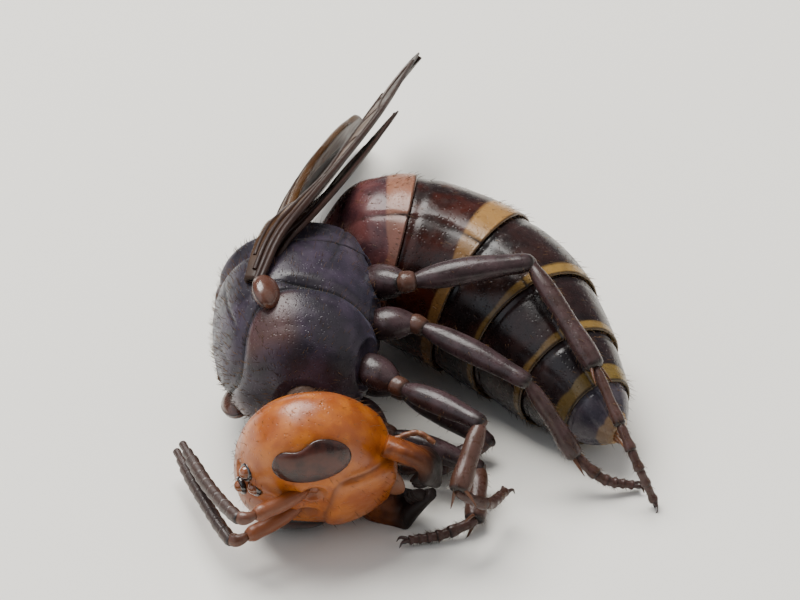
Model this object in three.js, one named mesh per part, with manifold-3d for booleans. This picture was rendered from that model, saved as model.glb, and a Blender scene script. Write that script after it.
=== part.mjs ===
// Asian giant hornet worker, life size, in millimetres, +Z up.
// It lies on its right side with the head toward -Y, the abdomen curled under the body toward +X
// and the wings laid back along +Y. The origin is on the floor, under the middle of its box.
import * as THREE from 'three';
import { mergeVertices } from 'three/addons/utils/BufferGeometryUtils.js';
import Module from 'manifold-3d';

const wasm = await Module();
wasm.setup();

// How the thorax lies: rolled onto the right side, nose down a little, heading toward -Y
const ROLL = THREE.MathUtils.degToRad(78);
const NOSE_DOWN = THREE.MathUtils.degToRad(4);
const HEADING = THREE.MathUtils.degToRad(-90);
const THORAX_HEIGHT = 6.4;

// The gap that is kept between two pieces that meet, and how far a cut stands off the piece
// it clears, which is a little more because it is measured from the middle
const GAP = 0.3;
const CLEAR = 0.36;

// Blocks that cut away what is under the floor, or past the middle of the head
const BLOCK = { wide: 200, deep: 40 };

// Head: half sizes of the capsule, and how it is carried on the neck
const HEAD = { front: 2.75, back: 2.7, side: 4.8, top: 3.9, chin: 4.3, square: 2.5 };
const NECK_AT = new THREE.Vector3(6.75, 0, -0.5);
const HEAD_TURN = THREE.MathUtils.degToRad(-20);
const HEAD_NOD = THREE.MathUtils.degToRad(12);
const HEAD_SIDES = 34;
const HEAD_STEPS = 22;

// On the head: the face shield, the pits of the feelers, the furrow of the brow and the hollow behind
const SHIELD = { halfWidth: 2.3, halfHeight: 1.75, middle: -2.35, rise: 0.55 };
const PIT = { side: 1.05, height: 0.35, depth: 0.4, width: 0.7 };
const FURROW = { depth: 0.18, width: 0.35 };
const HOLLOW = { depth: 0.7, width: 1.7, height: 0.2 };
const EYE = { height: 2.35, width: 1.2, bulge: 0.3, depth: 0.8, edge: 0.02, sides: 22 };
const EYE_NOTCH = { depth: 0.42, at: 0.55, width: 0.7 };
const EYE_ROOM = 0.1;
const OCELLUS_RADIUS = 0.36;
const MANDIBLE = { width: 1.25, depth: 0.62, toothRadius: 0.34, toothLength: 0.95 };
const SCAPE = { length: 3.9, radius: 0.4, bow: 0.12, sunk: 0.3 };
const WHIP = { length: 9.2, radius: 0.42 };

// Thorax pieces: how deep its seams are, the neck, the waist and the scales over the wing roots
const THORAX_SIDES = 28;
const THORAX_STEPS = 20;
const SEAM_DEPTH = { back: 0.24, collar: 0.2, side: 0.2 };
const NECK = { from: new THREE.Vector3(5, 0, -0.4), radius: 0.9 };
const WAIST = { from: new THREE.Vector3(-5.2, 0, -1.2), radius: 0.85, room: 0.15 };
const TEGULA = { x: 2.2, y: 3.95, z: 2.35, length: 1.15, thick: 0.6, width: 0.85, tilt: 0.5 };

// Abdomen: length of each segment along the middle, and how the whole curls under
const SEGMENTS = [4.2, 5.1, 4.2, 3.5, 2.9, 2.1];
const WAIST_AT = new THREE.Vector3(-7.0, 0, -1.2);
const WAIST_BEND = THREE.MathUtils.degToRad(75);
const CURL_BEND = THREE.MathUtils.degToRad(148);
const CURL_LENGTH = 14;
const ABDOMEN_DEPTH = 0.91;
const ABDOMEN_SIDES = 26;
const ABDOMEN_LONG = 22;
const LIP = { tuck: -0.14, flare: 0.26, first: 0.1 };
const STING = { length: 1.1, radius: 0.3, tip: 0.06, droop: 0.15 };

// Wings: the fore wing is folded lengthwise at rest, so it is a narrow blade
const WING_THICK = 0.5;
const VEIN_RISE = 0.22;
const VEIN_HALF = 0.045;
const WING_DOME = 0.35;
const HIND_WING = { from: 0.05, to: 0.7, under: 1.15 };

// Colours read from the hornet
const ORANGE = { color: 0xc9761c, roughness: 0.4 };
const DARK = { color: 0x2a1a14, roughness: 0.38 };
const BROWN = { color: 0x5a3018, roughness: 0.42 };
const BAND = { color: 0xb88434, roughness: 0.4 };
const EYE_BROWN = { color: 0x2a0f0a, roughness: 0.22 };
const AMBER = { color: 0x7a5226, roughness: 0.35 };

const hornet = new THREE.Group();
hornet.position.set(0, 0, THORAX_HEIGHT);
hornet.rotation.set(ROLL, NOSE_DOWN, HEADING, 'ZYX');
hornet.updateMatrixWorld(true);

const head = new THREE.Group();
head.position.copy(NECK_AT);
head.rotation.set(0, HEAD_NOD, HEAD_TURN, 'ZYX');
hornet.add(head);
hornet.updateMatrixWorld(true);

// Closed skin through a row of rings that each have the same number of points
function loft(rings, turned = () => false) {
  const around = rings[0].length;
  const points = [];
  const faces = [];
  for (const ring of rings) {
    for (const p of ring) {
      points.push(p.x, p.y, p.z);
    }
  }
  for (let i = 0; i + 1 < rings.length; i += 1) {
    for (let j = 0; j < around; j += 1) {
      const a = i * around + j;
      const b = i * around + ((j + 1) % around);
      const c = a + around;
      const d = b + around;
      if (turned(j)) faces.push(a, b, d, a, d, c);
      else faces.push(a, b, c, b, d, c);
    }
  }
  for (const last of [false, true]) {
    const ring = last ? rings[rings.length - 1] : rings[0];
    const middle = new THREE.Vector3();
    ring.forEach((p) => middle.addScaledVector(p, 1 / around));
    const hub = points.length / 3;
    points.push(middle.x, middle.y, middle.z);
    const start = last ? (rings.length - 1) * around : 0;
    for (let j = 0; j < around; j += 1) {
      const a = start + j;
      const b = start + ((j + 1) % around);
      if (last) faces.push(hub, a, b);
      else faces.push(hub, b, a);
    }
  }
  const geometry = new THREE.BufferGeometry();
  geometry.setAttribute('position', new THREE.Float32BufferAttribute(points, 3));
  geometry.setIndex(faces);
  return facingOut(geometry);
}

// Turns the faces round where the volume comes out negative
function facingOut(geometry) {
  const p = geometry.getAttribute('position');
  const index = geometry.getIndex().array;
  const a = new THREE.Vector3();
  const b = new THREE.Vector3();
  const c = new THREE.Vector3();
  let volume = 0;
  for (let i = 0; i < index.length; i += 3) {
    a.fromBufferAttribute(p, index[i]);
    b.fromBufferAttribute(p, index[i + 1]);
    c.fromBufferAttribute(p, index[i + 2]);
    volume += a.dot(b.cross(c)) / 6;
  }
  if (volume < 0) {
    for (let i = 0; i < index.length; i += 3) {
      [index[i], index[i + 1]] = [index[i + 1], index[i]];
    }
  }
  return geometry;
}

function solidOf(geometry) {
  const bare = new THREE.BufferGeometry();
  bare.setAttribute('position', geometry.getAttribute('position'));
  bare.setIndex(geometry.getIndex());
  const merged = mergeVertices(bare, 1e-5);
  return new wasm.Manifold(new wasm.Mesh({
    numProp: 3,
    vertProperties: new Float32Array(merged.getAttribute('position').array),
    triVerts: new Uint32Array(merged.getIndex().array),
  }));
}

function geometryOf(solid) {
  const mesh = solid.getMesh();
  const geometry = new THREE.BufferGeometry();
  const points = [];
  for (let i = 0; i < mesh.numVert; i += 1) {
    for (let k = 0; k < 3; k += 1) {
      points.push(mesh.vertProperties[i * mesh.numProp + k]);
    }
  }
  geometry.setAttribute('position', new THREE.Float32BufferAttribute(points, 3));
  geometry.setIndex(Array.from(mesh.triVerts));
  return geometry;
}

function largest(solid) {
  return solid.decompose().reduce((best, one) => (one.volume() > best.volume() ? one : best));
}

// The floor as a deep box, seen from the group that a piece is in
function floorIn(group) {
  const box = new THREE.BoxGeometry(BLOCK.wide, BLOCK.wide, BLOCK.deep);
  box.translate(0, 0, -BLOCK.deep / 2);
  box.applyMatrix4(group.matrixWorld.clone().invert());
  return solidOf(box);
}

// One union of all the pieces, less what is cut away, as a named mesh
function addNode(group, name, look, pieces, cuts = []) {
  let solid = pieces.map(solidOf).reduce((sum, one) => sum.add(one));
  for (const cut of cuts) {
    solid = solid.subtract(cut);
  }
  const mesh = new THREE.Mesh(geometryOf(largest(solid)), new THREE.MeshStandardMaterial(look));
  mesh.name = name;
  group.add(mesh);
  return mesh;
}

// Value of a smooth curve through stations [position, value, value, ...]
function along(stations, at) {
  const last = stations.length - 1;
  let i = 0;
  while (i < last - 1 && at > stations[i + 1][0]) i += 1;
  const lower = stations[i];
  const upper = stations[i + 1];
  const t = THREE.MathUtils.clamp((at - lower[0]) / (upper[0] - lower[0]), 0, 1);
  const before = stations[Math.max(i - 1, 0)];
  const after = stations[Math.min(i + 2, last)];
  const step = upper[0] - lower[0];
  return lower.slice(1).map((value, k) => {
    const in0 = i === 0 ? 0 : ((upper[k + 1] - before[k + 1]) / (upper[0] - before[0])) * step;
    const in1 = i === last - 1 ? 0 : ((after[k + 1] - value) / (after[0] - lower[0])) * step;
    const t2 = t * t;
    const t3 = t2 * t;
    return (2 * t3 - 3 * t2 + 1) * value + (t3 - 2 * t2 + t) * in0
      + (3 * t2 - 2 * t3) * upper[k + 1] + (t3 - t2) * in1;
  });
}

const power = (value, exponent) => Math.sign(value) * Math.abs(value) ** exponent;
const bell = (value, width) => Math.exp(-((value / width) ** 2));

// Ring of a round or squarish section about a centre
function ringAt(centre, across, up, halfAcross, halfUp, sides, square = 2) {
  const ring = [];
  for (let j = 0; j < sides; j += 1) {
    const angle = (2 * Math.PI * j) / sides;
    ring.push(centre.clone()
      .addScaledVector(across, halfAcross * power(Math.cos(angle), 2 / square))
      .addScaledVector(up, halfUp * power(Math.sin(angle), 2 / square)));
  }
  return ring;
}

// Bent tube: each station is [share of the length, half width, half depth]
function bentTube(points, side, stations, sides, steps) {
  const path = new THREE.CatmullRomCurve3(points, false, 'centripetal');
  const rings = [];
  for (let i = 0; i <= steps; i += 1) {
    const t = i / steps;
    const tangent = path.getTangentAt(t);
    const up = tangent.clone().cross(side).normalize();
    const across = up.clone().cross(tangent).normalize();
    const [wide, deep] = along(stations, t);
    rings.push(ringAt(path.getPointAt(t), across, up, wide, deep, sides));
  }
  return loft(rings);
}

// Head capsule: how far its surface is from its middle in a direction, x forward, y left, z up
const HEAD_CENTRE = new THREE.Vector3(HEAD.back + 0.1, 0, 0);

function headReach(direction) {
  const { x, y, z } = direction;
  const low = THREE.MathUtils.smoothstep(-z, 0, 0.9);
  const side = HEAD.side * (1 - 0.24 * low) * (1 - 0.05 * THREE.MathUtils.smoothstep(x, 0.2, 0.9));
  const deep = x > 0 ? HEAD.front : HEAD.back;
  const tall = z > 0 ? HEAD.top : HEAD.chin;
  const n = HEAD.square;
  const sum = Math.abs(x / deep) ** n + Math.abs(y / side) ** n + Math.abs(z / tall) ** n;
  let reach = sum ** (-1 / n);
  const at = direction.clone().multiplyScalar(reach);
  const shield = Math.max(Math.abs(at.y) / SHIELD.halfWidth,
    Math.abs(at.z - SHIELD.middle) / SHIELD.halfHeight);
  if (x > 0) {
    reach += SHIELD.rise * THREE.MathUtils.smoothstep(1.25 - shield, 0, 0.5);
    reach -= PIT.depth * bell(Math.abs(at.y) - PIT.side, PIT.width) * bell(at.z - PIT.height, PIT.width);
    reach -= FURROW.depth * bell(at.y, FURROW.width) * THREE.MathUtils.smoothstep(at.z, 0.2, 1.2);
  } else {
    reach -= HOLLOW.depth * bell(at.y, HOLLOW.width) * bell(at.z - HOLLOW.height, HOLLOW.width);
  }
  return reach;
}

function headPoint(direction, extra = 0) {
  const unit = direction.clone().normalize();
  return unit.clone().multiplyScalar(headReach(unit) + extra).add(HEAD_CENTRE);
}

function headForm(extra) {
  const rings = [];
  for (let i = 1; i < HEAD_STEPS; i += 1) {
    const lift = -Math.PI / 2 + (Math.PI * i) / HEAD_STEPS;
    const ring = [];
    for (let j = 0; j < HEAD_SIDES; j += 1) {
      const turn = (2 * Math.PI * j) / HEAD_SIDES;
      const unit = new THREE.Vector3(
        Math.cos(lift) * Math.cos(turn), Math.cos(lift) * Math.sin(turn), Math.sin(lift));
      ring.push(headPoint(unit, extra));
    }
    rings.push(ring);
  }
  return loft(rings);
}

// Compound eye: a bean-shaped patch of the head, notched toward the feeler, domed and sunk
function eyeForm(hand, extra) {
  const middle = new THREE.Vector3(0.52, hand * 0.82, 0.2).normalize();
  const up = new THREE.Vector3(0.12, -hand * 0.14, 1);
  up.addScaledVector(middle, -up.dot(middle)).normalize();
  const front = new THREE.Vector3().crossVectors(up, middle).multiplyScalar(hand).normalize();
  const centre = middle.clone().multiplyScalar(headReach(middle));
  const spot = (share, angle, rise) => {
    const q = (EYE.height + extra) * share * Math.sin(angle);
    const isFront = Math.cos(angle) > 0 ? 1 : 0;
    const notch = EYE_NOTCH.depth * share * bell(q - EYE_NOTCH.at, EYE_NOTCH.width) * isFront;
    const p = (EYE.width + extra) * share * Math.cos(angle) - notch;
    const direction = centre.clone().addScaledVector(front, p).addScaledVector(up, q);
    return headPoint(direction, rise);
  };
  const rows = [[0.3, -EYE.depth - extra], [1, -EYE.depth - extra], [1, EYE.edge]];
  for (const share of [0.82, 0.5, 0.2]) {
    rows.push([share, extra > 0 ? 1 : EYE.edge + EYE.bulge * Math.sqrt(1 - share * share)]);
  }
  if (extra > 0) rows.splice(2, 1, [1, 1]);
  return loft(rows.map(([share, rise]) => Array.from({ length: EYE.sides },
    (unused, j) => spot(share, (2 * Math.PI * j) / EYE.sides, rise))));
}

const headCuts = () => [solidOf(headForm(CLEAR))];
addNode(head, 'head', ORANGE, [headForm(0)],
  [solidOf(eyeForm(1, CLEAR + EYE_ROOM)), solidOf(eyeForm(-1, CLEAR + EYE_ROOM)), floorIn(head)]);
for (const [name, hand] of [['left', 1], ['right', -1]]) {
  addNode(head, `eye_${name}`, EYE_BROWN, [eyeForm(hand, 0)], [floorIn(head)]);
}

// Three ocelli in a triangle on top of the head
for (const [name, x, y] of [['front', 0.52, 0], ['left', 0.3, 0.2], ['right', 0.3, -0.2]]) {
  const top = headPoint(new THREE.Vector3(x, y, 1), CLEAR);
  const bead = new THREE.SphereGeometry(OCELLUS_RADIUS, 8, 6);
  bead.translate(top.x, top.y, top.z);
  addNode(head, `ocellus_${name}`, AMBER, [bead], headCuts());
}

// Mandibles: stout blades hinged at the lower corners, closed under the face, with teeth
function mandibleForm(hand) {
  const hinge = new THREE.Vector3(HEAD_CENTRE.x + 0.9, hand * 2.95, -3.35);
  const bend = new THREE.Vector3(HEAD_CENTRE.x + 1.75, hand * 2.75, -5.3);
  const tip = new THREE.Vector3(HEAD_CENTRE.x + 2.0, hand * 0.62, -6.55);
  const { width, depth } = MANDIBLE;
  const blade = bentTube([hinge, bend, tip], new THREE.Vector3(0.25, hand * 0.75, 0.6),
    [[0, width * 0.8, depth], [0.3, width, depth], [0.7, width * 0.72, depth * 0.85],
      [1, width * 0.3, depth * 0.45]], 10, 7);
  const pieces = [blade];
  for (const share of [0.25, 0.5, 0.75]) {
    const root = tip.clone().lerp(bend, 0.12 + 0.45 * share);
    root.z += 0.52;
    root.y -= hand * 0.4;
    const tooth = new THREE.ConeGeometry(MANDIBLE.toothRadius, MANDIBLE.toothLength, 6);
    tooth.deleteAttribute('normal');
    tooth.deleteAttribute('uv');
    tooth.rotateX(hand * THREE.MathUtils.degToRad(-48));
    tooth.translate(root.x, root.y, root.z);
    pieces.push(mergeVertices(tooth));
  }
  return pieces;
}

const halfSpace = (hand, gap) => {
  const box = new THREE.BoxGeometry(BLOCK.deep, BLOCK.deep, BLOCK.deep);
  box.translate(0, -hand * (BLOCK.deep - gap) / 2, 0);
  return solidOf(box);
};
for (const [name, hand] of [['left', 1], ['right', -1]]) {
  addNode(head, `mandible_${name}`, BROWN, mandibleForm(hand),
    [...headCuts(), halfSpace(hand, GAP), floorIn(head)]);
}

// Folded tongue and jaws behind the mandibles, with a short feeler on each side
const lobe = bentTube([new THREE.Vector3(HEAD_CENTRE.x - 0.5, 0, -3.2),
  new THREE.Vector3(HEAD_CENTRE.x - 0.1, 0, -4.9), new THREE.Vector3(HEAD_CENTRE.x + 0.5, 0, -6.0)],
new THREE.Vector3(0, 1, 0), [[0, 1.2, 0.5], [0.6, 0.95, 0.45], [1, 0.55, 0.3]], 10, 4);
const palps = [1, -1].map((hand) => bentTube([new THREE.Vector3(HEAD_CENTRE.x - 0.4, hand * 0.9, -4.4),
  new THREE.Vector3(HEAD_CENTRE.x - 0.5, hand * 1.5, -5.6),
  new THREE.Vector3(HEAD_CENTRE.x + 0.1, hand * 1.5, -6.6)],
new THREE.Vector3(0, 1, 0), [[0, 0.3, 0.3], [1, 0.25, 0.25]], 6, 4));
addNode(head, 'mouthparts', BROWN, [lobe, ...palps], [...headCuts(), floorIn(head)]);

// Antennae: a long first joint from the face, then an elbow and a ringed whip
const ANTENNAE = {
  left: { scape: [0.46, 0.06, 0.88], whip: [[-0.75, -0.6, 0.3], [-0.84, -0.54, 0.1]] },
  right: { scape: [0.46, -0.14, 0.87], whip: [[-0.84, -0.48, 0.3], [-0.86, -0.5, 0.1]] },
};
for (const [name, hand] of [['left', 1], ['right', -1]]) {
  const root = headPoint(new THREE.Vector3(2.6, hand * PIT.side, 0.3), -SCAPE.sunk);
  const aim = new THREE.Vector3(...ANTENNAE[name].scape).normalize();
  const elbow = root.clone().addScaledVector(aim, SCAPE.length);
  const side = new THREE.Vector3(0, 1, 0.2);
  const { radius } = SCAPE;
  addNode(head, `antenna_${name}_scape`, ORANGE, [bentTube([root,
    root.clone().lerp(elbow, 0.5).add(new THREE.Vector3(SCAPE.bow, 0, 0)), elbow], side,
  [[0, radius * 0.8, radius * 0.8], [0.2, radius * 0.85, radius * 0.85],
    [0.8, radius * 1.15, radius * 1.1], [1, radius * 0.9, radius * 0.9]], 8, 6)], headCuts());
  const [first, second] = ANTENNAE[name].whip.map((d) => new THREE.Vector3(...d).normalize());
  const start = elbow.clone().addScaledVector(aim, GAP);
  const middle = start.clone().addScaledVector(first, WHIP.length * 0.5);
  const end = middle.clone().addScaledVector(second, WHIP.length * 0.5);
  const r = WHIP.radius;
  addNode(head, `antenna_${name}_whip`, BROWN, [bentTube([start,
    start.clone().addScaledVector(aim, 0.5).addScaledVector(first, 0.6), middle, end], side,
  [[0, r * 0.75, r * 0.75], [0.06, r, r], [0.75, r, r], [0.96, r * 0.8, r * 0.8], [1, r * 0.4, r * 0.4]],
  8, 16)], [solidOf(bentTube([root, elbow.clone().addScaledVector(aim, 0.1)], side,
    [[0, radius * 1.5 + GAP, radius * 1.5 + GAP],
      [1, radius * 1.5 + GAP, radius * 1.5 + GAP]], 8, 2))]);
}

// Thorax stations from the neck back: position, half width, top, bottom
const THORAX = [
  [-6.3, 1.5, -0.3, -2.5],
  [-5.7, 2.7, 1.2, -3.3],
  [-4.5, 3.45, 2.75, -3.9],
  [-3.3, 3.85, 3.75, -4.25],
  [-1.7, 4.25, 4.25, -4.45],
  [0.4, 4.4, 4.35, -4.5],
  [2.4, 4.3, 4.1, -4.35],
  [4.1, 3.8, 3.4, -3.9],
  [5.3, 2.9, 2.4, -3.1],
  [6.0, 1.5, 1.1, -1.8],
];

function thoraxForm(extra) {
  const rings = [];
  const first = THORAX[0][0] - extra;
  const last = THORAX[THORAX.length - 1][0] + extra;
  for (let i = 0; i <= THORAX_STEPS; i += 1) {
    const x = first + ((last - first) * i) / THORAX_STEPS;
    const [wide, top, bottom] = along(THORAX, x);
    const ring = [];
    for (let j = 0; j < THORAX_SIDES; j += 1) {
      const angle = (2 * Math.PI * j) / THORAX_SIDES;
      const y = power(Math.cos(angle), 0.86);
      const z = power(Math.sin(angle), 0.86);
      const back = THREE.MathUtils.smoothstep(z, 0.2, 0.7);
      const collar = bell(x - 4.6 + 3.1 * Math.abs(y) ** 2, 0.45) * THREE.MathUtils.smoothstep(z, -0.4, 0.3);
      const seams = SEAM_DEPTH.back * back * (bell(x + 1.9, 0.4) + bell(x + 3.7, 0.35))
        + SEAM_DEPTH.collar * collar + SEAM_DEPTH.side * (1 - back) * bell(x - 1.4 + 0.5 * z, 0.4);
      const half = (top - bottom) / 2 + extra - seams;
      ring.push(new THREE.Vector3(x, (wide + extra - seams) * y, (top + bottom) / 2 + half * z));
    }
    rings.push(ring);
  }
  return loft(rings);
}
const thoraxCut = solidOf(thoraxForm(CLEAR));
addNode(hornet, 'thorax', DARK, [thoraxForm(0)], [floorIn(hornet)]);

// Neck between the thorax and the back of the head
const headOuter = headForm(CLEAR);
headOuter.applyMatrix4(head.matrix);
const headCut = solidOf(headOuter);
const neckEnd = HEAD_CENTRE.clone().applyMatrix4(head.matrix);
addNode(hornet, 'neck', DARK, [bentTube([NECK.from, neckEnd],
  new THREE.Vector3(0, 1, 0), [[0, NECK.radius + 0.1, NECK.radius], [1, NECK.radius, NECK.radius]], 12, 4)],
[thoraxCut, headCut]);

// Tegulae: small shells over the wing roots
function tegulaForm(hand, extra) {
  const shell = new THREE.SphereGeometry(1, 10, 8);
  shell.scale(TEGULA.length + extra, TEGULA.thick + extra, TEGULA.width + extra);
  shell.rotateX(-hand * TEGULA.tilt);
  shell.translate(TEGULA.x, hand * TEGULA.y, TEGULA.z);
  return shell;
}
for (const [name, hand] of [['left', 1], ['right', -1]]) {
  addNode(hornet, `tegula_${name}`, BROWN, [tegulaForm(hand, 0)], [thoraxCut, floorIn(hornet)]);
}

// The middle line of the abdomen: an arc that ends straight, in the plane of the body
function abdomenAt(distance) {
  const radius = CURL_LENGTH / (CURL_BEND - WAIST_BEND);
  const bent = Math.min(distance, CURL_LENGTH);
  const angle = WAIST_BEND + bent / radius;
  const rest = distance - bent;
  const back = radius * (Math.sin(angle) - Math.sin(WAIST_BEND)) + rest * Math.cos(angle);
  const down = radius * (Math.cos(WAIST_BEND) - Math.cos(angle)) + rest * Math.sin(angle);
  return {
    place: new THREE.Vector3(WAIST_AT.x - back, 0, WAIST_AT.z - down),
    aim: new THREE.Vector3(-Math.cos(angle), 0, -Math.sin(angle)),
    out: new THREE.Vector3(-Math.sin(angle), 0, Math.cos(angle)),
  };
}

// Half width of the abdomen along its length
const ABDOMEN = [[0, 0.9], [0.5, 1.7], [1.4, 3.2], [3.0, 4.2], [7.5, 4.8], [12, 4.6], [15.8, 3.7],
  [18.5, 2.75], [20.6, 1.75], [ABDOMEN_LONG, 0.6]];

function abdomenRing(distance, extra) {
  const { place, out } = abdomenAt(distance);
  const wide = along(ABDOMEN, distance)[0] + extra;
  return ringAt(place, new THREE.Vector3(0, 1, 0), out, wide, wide * ABDOMEN_DEPTH, ABDOMEN_SIDES, 2.1);
}

const waistSide = solidOf(thoraxForm(CLEAR + WAIST.room));
const LOOKS = [BROWN, DARK, DARK, DARK, DARK, BAND];
let reached = 0;
SEGMENTS.forEach((length, k) => {
  const isLast = k === SEGMENTS.length - 1;
  const start = reached + (k === 0 ? 0 : CLEAR / 2);
  const end = reached + length - (isLast ? 0 : CLEAR / 2);
  const steps = k === 0 ? 6 : 4;
  const rings = [];
  for (let i = 0; i <= steps; i += 1) {
    const share = i / steps;
    const lip = k === 0 ? LIP.first * share : LIP.tuck + LIP.flare * Math.sqrt(share);
    rings.push(abdomenRing(start + (end - start) * share, isLast ? lip * (1 - share) : lip));
  }
  addNode(hornet, `abdomen_${k + 1}`, LOOKS[k], [loft(rings)], [waistSide, floorIn(hornet)]);
  reached += length;
});

// Waist between the thorax and the first segment of the abdomen
const firstFace = [-GAP, 0.5, 3].map((distance) => abdomenRing(distance, GAP));
addNode(hornet, 'waist', DARK, [bentTube([WAIST.from, WAIST_AT.clone().add(new THREE.Vector3(0.1, 0, 0)),
  abdomenAt(1.5).place], new THREE.Vector3(0, 1, 0),
[[0, WAIST.radius, WAIST.radius], [1, WAIST.radius, WAIST.radius]], 10, 6)],
[thoraxCut, solidOf(loft(firstFace))]);

// Tip of the sting, just out of the last segment
const tail = abdomenAt(ABDOMEN_LONG + GAP);
addNode(hornet, 'sting', DARK, [bentTube([tail.place, tail.place.clone()
  .addScaledVector(tail.aim, STING.length).addScaledVector(tail.out, -STING.droop)],
new THREE.Vector3(0, 1, 0), [[0, STING.radius, STING.radius], [1, STING.tip, STING.tip]], 6, 2)]);

// Wings: each blade follows a bent path; its front edge is on the path and it widens toward the middle
// of the body. Veins are raised in the upper face, lengthwise and across.
const WING_PATHS = {
  left: {
    points: [[1.3, 3.9, 2.6], [-1.6, 4.85, 1.7], [-5, 5.0, 0.1], [-16, 2.6, -4.0], [-27.8, -1.2, -7.4]],
    root: [0, -0.45, 0.89],
    tip: [0, -0.92, 0.39],
  },
  right: {
    points: [[1.3, -3.9, 2.6], [-1.6, -4.75, 2.2], [-5, -4.9, 1.4], [-14.5, -5.6, 0.0], [-25.7, -7.0, -4.4]],
    root: [0, 0.45, 0.89],
    tip: [0, 0.99, -0.1],
  },
};
const FORE_OUTLINE = [[0, 1.0], [0.12, 1.5], [0.3, 3.0], [0.6, 4.1], [0.85, 3.6], [0.96, 2.1], [1, 0.9]];
const HIND_OUTLINE = [[0, 1.0], [0.2, 2.0], [0.5, 3.8], [0.75, 4.0], [0.93, 2.5], [1, 1.0]];
const VEINS = [0.07, 0.32, 0.56, 0.8];
const CROSS_VEINS = [0.42, 0.6, 0.76];

function wingForm(side, hand, outline, from, to, sink, steps) {
  const { points, root, tip } = WING_PATHS[side];
  const path = new THREE.CatmullRomCurve3(points.map((p) => new THREE.Vector3(...p)));
  const marks = [0];
  for (const vein of VEINS) marks.push(vein - VEIN_HALF, vein, vein + VEIN_HALF);
  marks.push(1);
  const rings = [];
  for (let i = 0; i <= steps; i += 1) {
    const share = i / steps;
    const t = from + (to - from) * share;
    const back = path.getTangentAt(t);
    const twist = THREE.MathUtils.smoothstep(t, 0.05, 0.4);
    const inward = new THREE.Vector3(...root).lerp(new THREE.Vector3(...tip), twist);
    inward.addScaledVector(back, -inward.dot(back)).normalize();
    const upper = back.clone().cross(inward).multiplyScalar(hand).normalize();
    const edge = path.getPointAt(t).addScaledVector(upper, -sink);
    const wide = along(outline, share)[0];
    const crossed = CROSS_VEINS.some((at) => Math.abs(at - share) < 0.5 / steps);
    const place = (mark, rise) => edge.clone().addScaledVector(inward, wide * mark)
      .addScaledVector(upper, rise + WING_DOME * Math.sin(Math.PI * mark) * wide / 5);
    const top = marks.map((mark, k) => {
      const isVein = k % 3 === 2;
      const joins = crossed && k > 2 && k < 11;
      const ridge = isVein || joins ? VEIN_RISE * Math.min(1, wide / 2.4) : 0;
      return place(mark, WING_THICK / 2 + ridge);
    });
    const under = marks.map((mark) => place(mark, -WING_THICK / 2)).reverse();
    rings.push([...top, ...under]);
  }
  return loft(rings, (j) => j >= marks.length);
}

for (const [name, hand] of [['left', 1], ['right', -1]]) {
  const cuts = [thoraxCut, solidOf(tegulaForm(hand, CLEAR)), floorIn(hornet)];
  addNode(hornet, `fore_wing_${name}`, AMBER, [wingForm(name, hand, FORE_OUTLINE, 0, 1, 0, 12)], cuts);
  addNode(hornet, `hind_wing_${name}`, AMBER,
    [wingForm(name, hand, HIND_OUTLINE, HIND_WING.from, HIND_WING.to, HIND_WING.under, 9)], cuts);
}

// Legs: the joints as they lie, from the floor, with the root on the thorax in the body's own axes
const LEGS = {
  fore_left: {
    root: [3.9, 1.5, -3.5],
    joints: [[5.4, -5.4, 6.6], [9.9, -8.8, 6.6], [8.7, -12.2, 4.6], [10.2, -11.4, 3.2], [11.2, -9.0, 2.2]],
  },
  fore_right: {
    root: [3.9, -1.5, -3.5],
    joints: [[4.7, -4.9, 3.1], [9.9, -6.3, 1.7], [9.6, -9.7, 0.8], [7.9, -10.5, 0.5], [6.1, -10.9, 0.42]],
  },
  middle_left: {
    root: [0.8, 1.8, -3.9],
    joints: [[6.4, -1.2, 7.6], [12.4, -5.0, 6.5], [15.0, -5.9, 2.2], [16.5, -6.3, 1.0], [18.1, -6.1, 0.45]],
  },
  middle_right: {
    root: [0.8, -1.8, -3.9],
    joints: [[5.4, -0.8, 3.0], [10.4, -3.3, 1.2], [7.4, -5.0, 0.7], [5.6, -4.5, 0.42], [3.9, -2.9, 0.38]],
  },
  hind_left: {
    root: [-2.5, 1.9, -3.6],
    joints: [[5.8, 0.7, 8.9], [12.6, 1.7, 9.5], [16.1, -3.4, 6.2], [18.0, -6.9, 3.2], [19.2, -7.5, 0.42]],
  },
  hind_right: {
    root: [-2.2, -2.2, -3.3],
    joints: [[2.3, 3.6, 1.55], [-0.4, 10.3, 0.72], [7.4, 12.6, 0.55], [11.2, 10.9, 0.42], [14.2, 8.3, 0.38]],
  },
};
const LEG_SIZE = { fore: 0.95, middle: 0.95, hind: 1.05 };
const LIMB_STEP = 0.12;
const COXA = [[0, 1.0], [0.5, 1.02], [1, 0.62]];
const FEMUR = [[0, 0.5], [0.12, 0.66], [0.4, 0.78], [0.85, 0.6], [1, 0.42]];
const TIBIA = [[0, 0.36], [0.12, 0.46], [0.6, 0.55], [0.9, 0.58], [1, 0.4]];
const TARSUS_JOINTS = [0.42, 0.6, 0.74, 0.86, 1];
const TARSUS_RADIUS = 0.34;
const TARSUS_WAIST = 0.26;
const CLAW = { length: 0.95, radius: 0.16, spread: 0.55 };

// Plane between two limbs that meet, square to the line that halves their angle
function mitre(at, incoming, outgoing) {
  return { at, normal: incoming.clone().add(outgoing).normalize() };
}

// Moves a point along a limb until it is on a plane, short of it or past it by half a gap
function toPlane(point, aim, plane, shift) {
  const off = shift - point.clone().sub(plane.at).dot(plane.normal);
  return off / aim.dot(plane.normal);
}

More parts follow.
